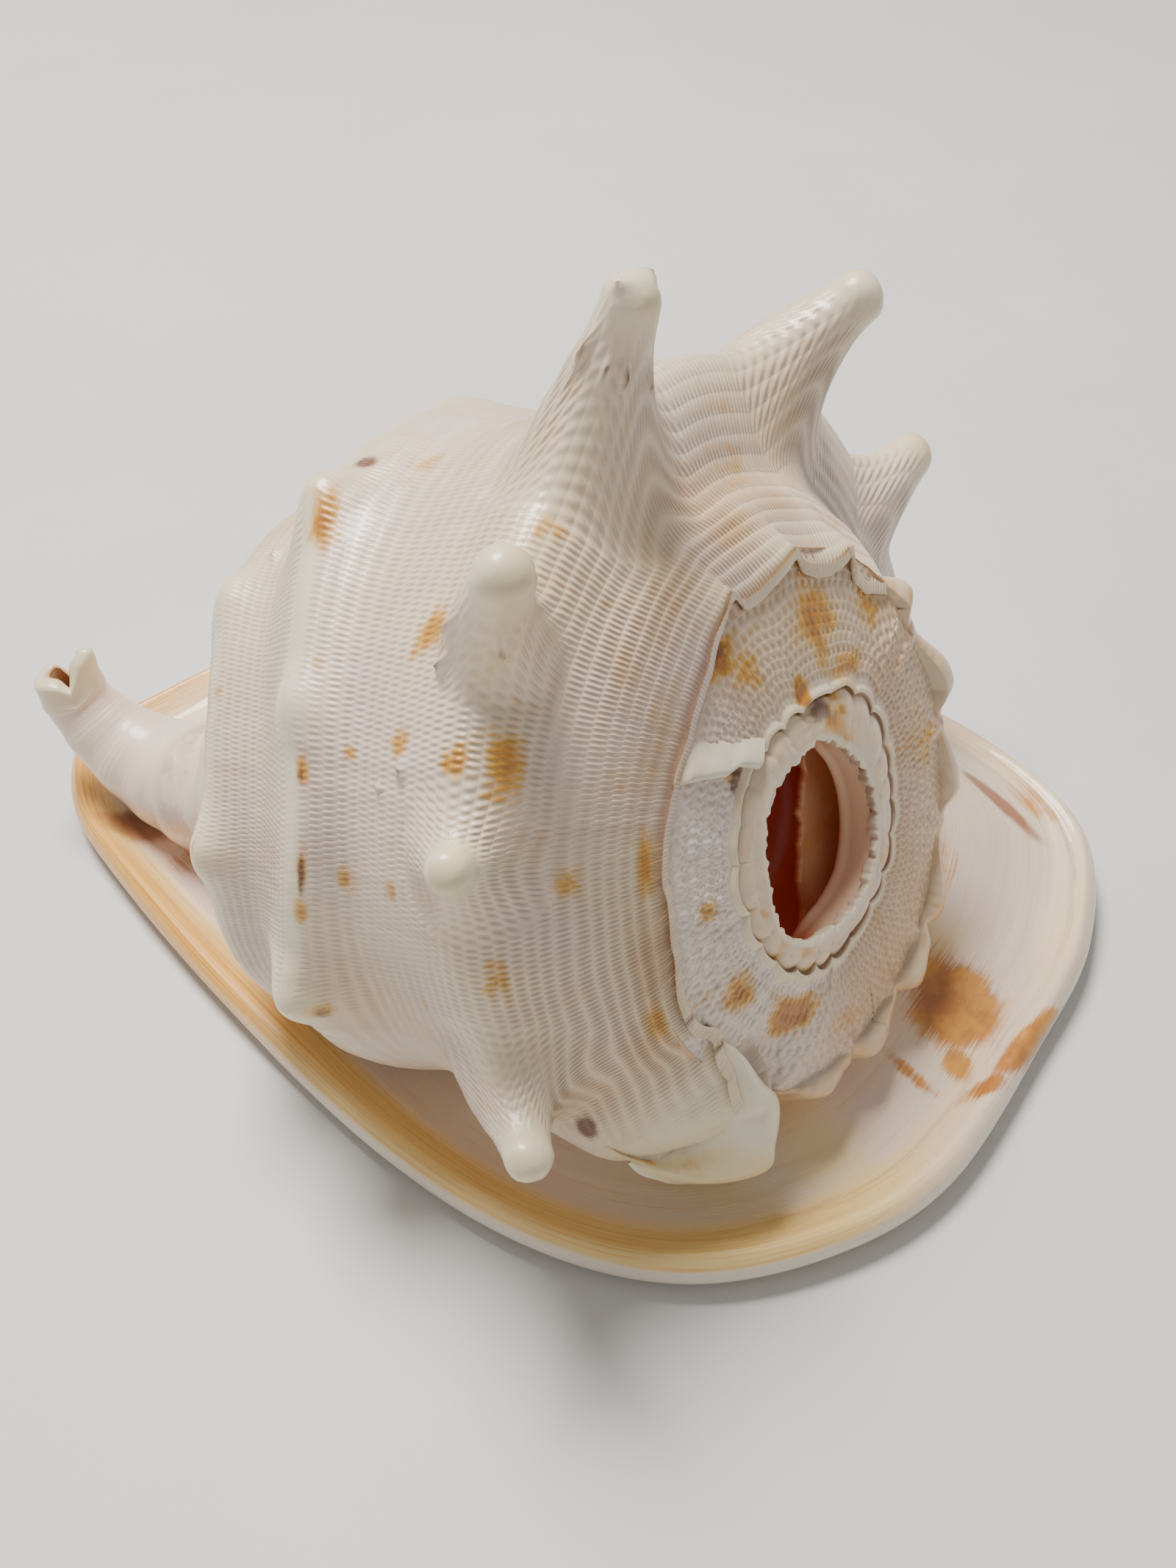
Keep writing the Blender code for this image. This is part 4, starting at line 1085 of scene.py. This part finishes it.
def pitted_material():
    """The outer layer: pale, pitted, tinted ochre in patches, with smooth enamel on horns and ridges."""
    start("pitted_shell")
    enamel = mark("enamel")
    net_u = mark("net_u")
    net_w = mark("net_w")
    ragged = noise(75, 6, 0.65, None, 0.8)
    half_turn = times(maths("FLOOR", net_w), 0.5)
    wave_u = maths("COSINE", times(plus(net_u, half_turn), 2 * pi))
    wave_w = maths("COSINE", times(plus(net_w, 0.5), 2 * pi))
    in_row = maths("POWER", scaled(wave_w, 0.498, 0.502), 0.5)
    pits = times(scaled(wave_u, 0.5, 0.5), in_row)
    pits = times(pits, maths("SUBTRACT", 1, enamel))
    pits = times(pits, mark("pits"))
    # Growth lines run across the whorl, so this pattern is stretched across the spiral rows
    growth_place = vector(times(net_u, 0.22), times(net_w, 0.035), 0)
    growth = noise(1, 4, 0.6, growth_place)

    ground(step(noise(28, 3), 0.32, 0.6), LILAC_WHITE, WARM_WHITE)
    golden = step(noise(36, 5, 0.6, None, 0.5), 0.52, 0.72)
    paint(golden, 0.5, linear(232, 186, 116))
    paint(step(growth, 0.45, 0.7), 0.45, PINK_WHITE)
    # The tan mark holds tan patches, and painted shade as well: the broad patches low on the body's near
    # side, and the old lip's start and underside.
    paint(times(mark("tan"), scaled(growth, 1.4, 0.35)), 0.8, TAN)
    paint(pits, scaled(mark("tan"), 0.35, 0.32), linear(178, 130, 96))
    paint(enamel, 0.85, mix(step(noise(60), 0.4, 0.65), CREAM, GREEN_CREAM))
    paint(step(ragged, 0.5, 0.72), 0.35, linear(208, 178, 142))
    # The white mark is the beads' own tone on the body whorl, and painted light on the spire ramp's left
    # side.
    paint(mark("white"), 1, linear(240, 230, 222))
    paint(mark("cream"), 1, linear(236, 212, 160))
    spread = plus(mark("ochre"), scaled(ragged, 2.3, -1.3))
    ochre = step(scaled(pits, 0.25, spread), 0.12, 0.72)
    paint(ochre, 0.95, mix(step(spread, 0.45, 0.95), OCHRE, DEEP_OCHRE))
    # The brown mark holds brown stains, and painted shade as well: in the worm holes, the spire's seam
    # crevice and knob folds, under the old lip and the spire's white band, and at the lapped edge.
    stain_and_shade = plus(mark("brown"), scaled(ragged, 0.8, -0.4))
    paint(step(stain_and_shade, 0.3, 0.8), 0.9, BROWN)
    paint(step(noise(900, 3), 0.62, 0.8), 0.18, linear(150, 124, 104))

    normal = bump(times(pits, -1), 0.0005, 0.7)
    normal = bump(noise(500), 0.00012, 0.5, normal)
    return finish(scaled(noise(160, 5, 0.6), 0.25, 0.22), normal, 0.4, 0.16, 0.03)


def base_material():
    """The shield and lips: pale cream with ochre bands along the rim, stains, painted shade in the fold
    behind the spire, in the crevice by the canal and in the step beside the rim, and a dark toothed mouth.
    """
    start("banded_base")
    way = mark("rim_way")
    turn = mark("rim_turn")
    patchy = noise(140, 5, 0.6)
    streaks = noise(1.1, 4, 0.6, vector(way, times(turn, 1.6), 0))
    fine_streaks = noise(1.4, 4, 0.6, vector(times(way, 3.4), times(turn, 2.4), 4))
    broad = step(noise(22, 3), 0.35, 0.7)
    ground(broad, linear(228, 204, 186), linear(238, 216, 184))
    paint(step(streaks, 0.5, 0.7), 0.5, linear(226, 188, 140))
    # Distance inwards from the rim sets the bands, golden along the near side and orange towards the canal
    canal_end = mark("canal_end")
    paint(mark("cream"), 0.8, linear(240, 214, 156))
    band = times(step(way, 0.1, 1), step(way, 12.5, 8))
    band = times(band, mark("near_side"))
    paint(band, 0.9, linear(248, 212, 132))
    paint(times(band, step(fine_streaks, 0.46, 0.64)), 0.6, linear(232, 168, 78))
    band = times(step(way, -3, -0.5), step(way, 9, 3.5))
    orange = mix(step(fine_streaks, 0.4, 0.65), linear(240, 186, 84), linear(214, 132, 34))
    paint(times(canal_end, band), 0.9, orange)
    edge = times(step(way, 1, 0.2), step(way, -9, -4))
    edge = times(edge, maths("SUBTRACT", 1, canal_end))
    paint(edge, 0.7, linear(232, 222, 202))
    ragged = plus(mark("ochre"), scaled(fine_streaks, 1.3, -0.7))
    ragged = plus(ragged, scaled(patchy, 1.2, -0.6))
    golden = mix(step(patchy, 0.35, 0.65), linear(172, 100, 12), linear(208, 140, 30))
    paint(step(ragged, 0.2, 0.75), 0.95, golden)
    # Painted shade: dark brown in the fold behind the spire, the crevice by the canal and the step beside the
    # rim.
    stain_and_shade = plus(mark("brown"), scaled(patchy, 0.7, -0.35))
    paint(step(stain_and_shade, 0.3, 0.9), 0.85, linear(150, 84, 40))
    paint(step(way, -6, -20), 0.75, linear(226, 168, 128))
    paint(mark("mouth"), 1, linear(120, 58, 34))
    paint(mark("tooth"), 1, linear(236, 222, 200))
    normal = bump(fine_streaks, 0.0004, 0.35)
    normal = bump(noise(420), 0.0001, 0.4, normal)
    return finish(scaled(patchy, 0.22, 0.22), normal, 0.5, 0.12, 0.06)


def canal_material():
    """Pale and glazed, tan inside and with a stain at its foot."""
    start("canal_shell")
    patchy = noise(120, 5, 0.6)
    broad = step(noise(40, 3), 0.35, 0.65)
    ground(broad, linear(232, 206, 188), linear(240, 220, 196))
    way = mark("way")
    paint(step(way, 0.84, 0.9), 0.75, linear(228, 212, 172))
    stain = step(times(mark("stain"), plus(patchy, 0.5)), 0.25, 0.7)
    paint(stain, 0.8, linear(196, 132, 70))
    paint(step(mark("inside"), 0.2, 0.9), 1, linear(205, 140, 78))
    foot = times(step(way, 0.42, 0.2), step(patchy, 0.45, 0.6))
    paint(foot, 0.5, linear(176, 130, 100))
    rings = noise(3, 4, 0.6, vector(times(way, 16), 0, 0))
    normal = bump(rings, 0.0006, 0.5)
    normal = bump(patchy, 0.0003, 0.4, normal)
    return finish(scaled(patchy, 0.2, 0.28), normal, 0.35, 0.2, 0.06)


def inner_material():
    """The glossy inside, deep red brown in the hollow and tan where light reaches the broken wall."""
    start("inner_shell")
    patchy = noise(90)
    deep = mix(patchy, linear(250, 124, 56), linear(232, 98, 40))
    tan = mix(step(patchy, 0.35, 0.65), linear(238, 166, 108), linear(246, 190, 138))
    ground(mark("tan"), deep, tan)
    # Painted light: the pale patch on the hollow's lit right wall.
    paint(mark("pale"), 1, linear(250, 214, 178))
    return finish(0.3, bump(patchy, 0.0004, 0.4), 0.5, 0.15)


def aimed(name, data, location, target):
    """A lamp or camera that looks at a target."""
    made = bpy.data.objects.new(name, data)
    made.location = location
    made.rotation_euler = (target - location).to_track_quat("-Z", "Y").to_euler()
    bpy.context.scene.collection.objects.link(made)
    return made


def studio():
    """A plain pale table, a soft overhead light and even daylight around."""
    bpy.ops.mesh.primitive_plane_add(size=6, location=(0, 0, 0))
    floor = bpy.context.object
    floor.name = "table"
    start("pale_table")
    ground(step(noise(9), 0.3, 0.75), linear(212, 210, 205), linear(217, 215, 210))
    floor.data.materials.append(finish(0.55, bump(noise(300, 3), 0.0002, 0.2), 0, 0.3))
    world = bpy.data.worlds.new("daylight")
    world.use_nodes = True
    fill(world.node_tree.nodes["Background"], {"Color": (0.96, 0.97, 1, 1), "Strength": 0.41})
    bpy.context.scene.world = world
    light = bpy.data.lights.new("overhead", "AREA")
    light.shape = "DISK"
    light.size = 0.55
    light.energy = 35
    light.color = (1, 0.985, 0.965)
    aimed("overhead", light, Vector((-0.44, 0.24, 1.28)), Vector((0, 0, 0.05)))


def camera():
    data = bpy.data.cameras.new("camera")
    data.sensor_fit = "VERTICAL"
    data.sensor_height = 36
    data.lens = CAMERA_LENS
    data.clip_start = 0.01
    azimuth = radians(CAMERA_AZIMUTH)
    elevation = radians(CAMERA_ELEVATION)
    level = cos(elevation)
    away = Vector((sin(azimuth) * level, -cos(azimuth) * level, sin(elevation)))
    target = Vector(CAMERA_TARGET)
    bpy.context.scene.camera = aimed("camera", data, target + away * CAMERA_DISTANCE, target)


camera()
studio()
pitted = pitted_material()
inner = inner_material()
body_whorl(pitted)
spire(pitted)
spire_varix(pitted)
old_lip(pitted)
canal_shoulder(pitted)
base(base_material())
canal(canal_material())
hollow(inner)
partition(inner)
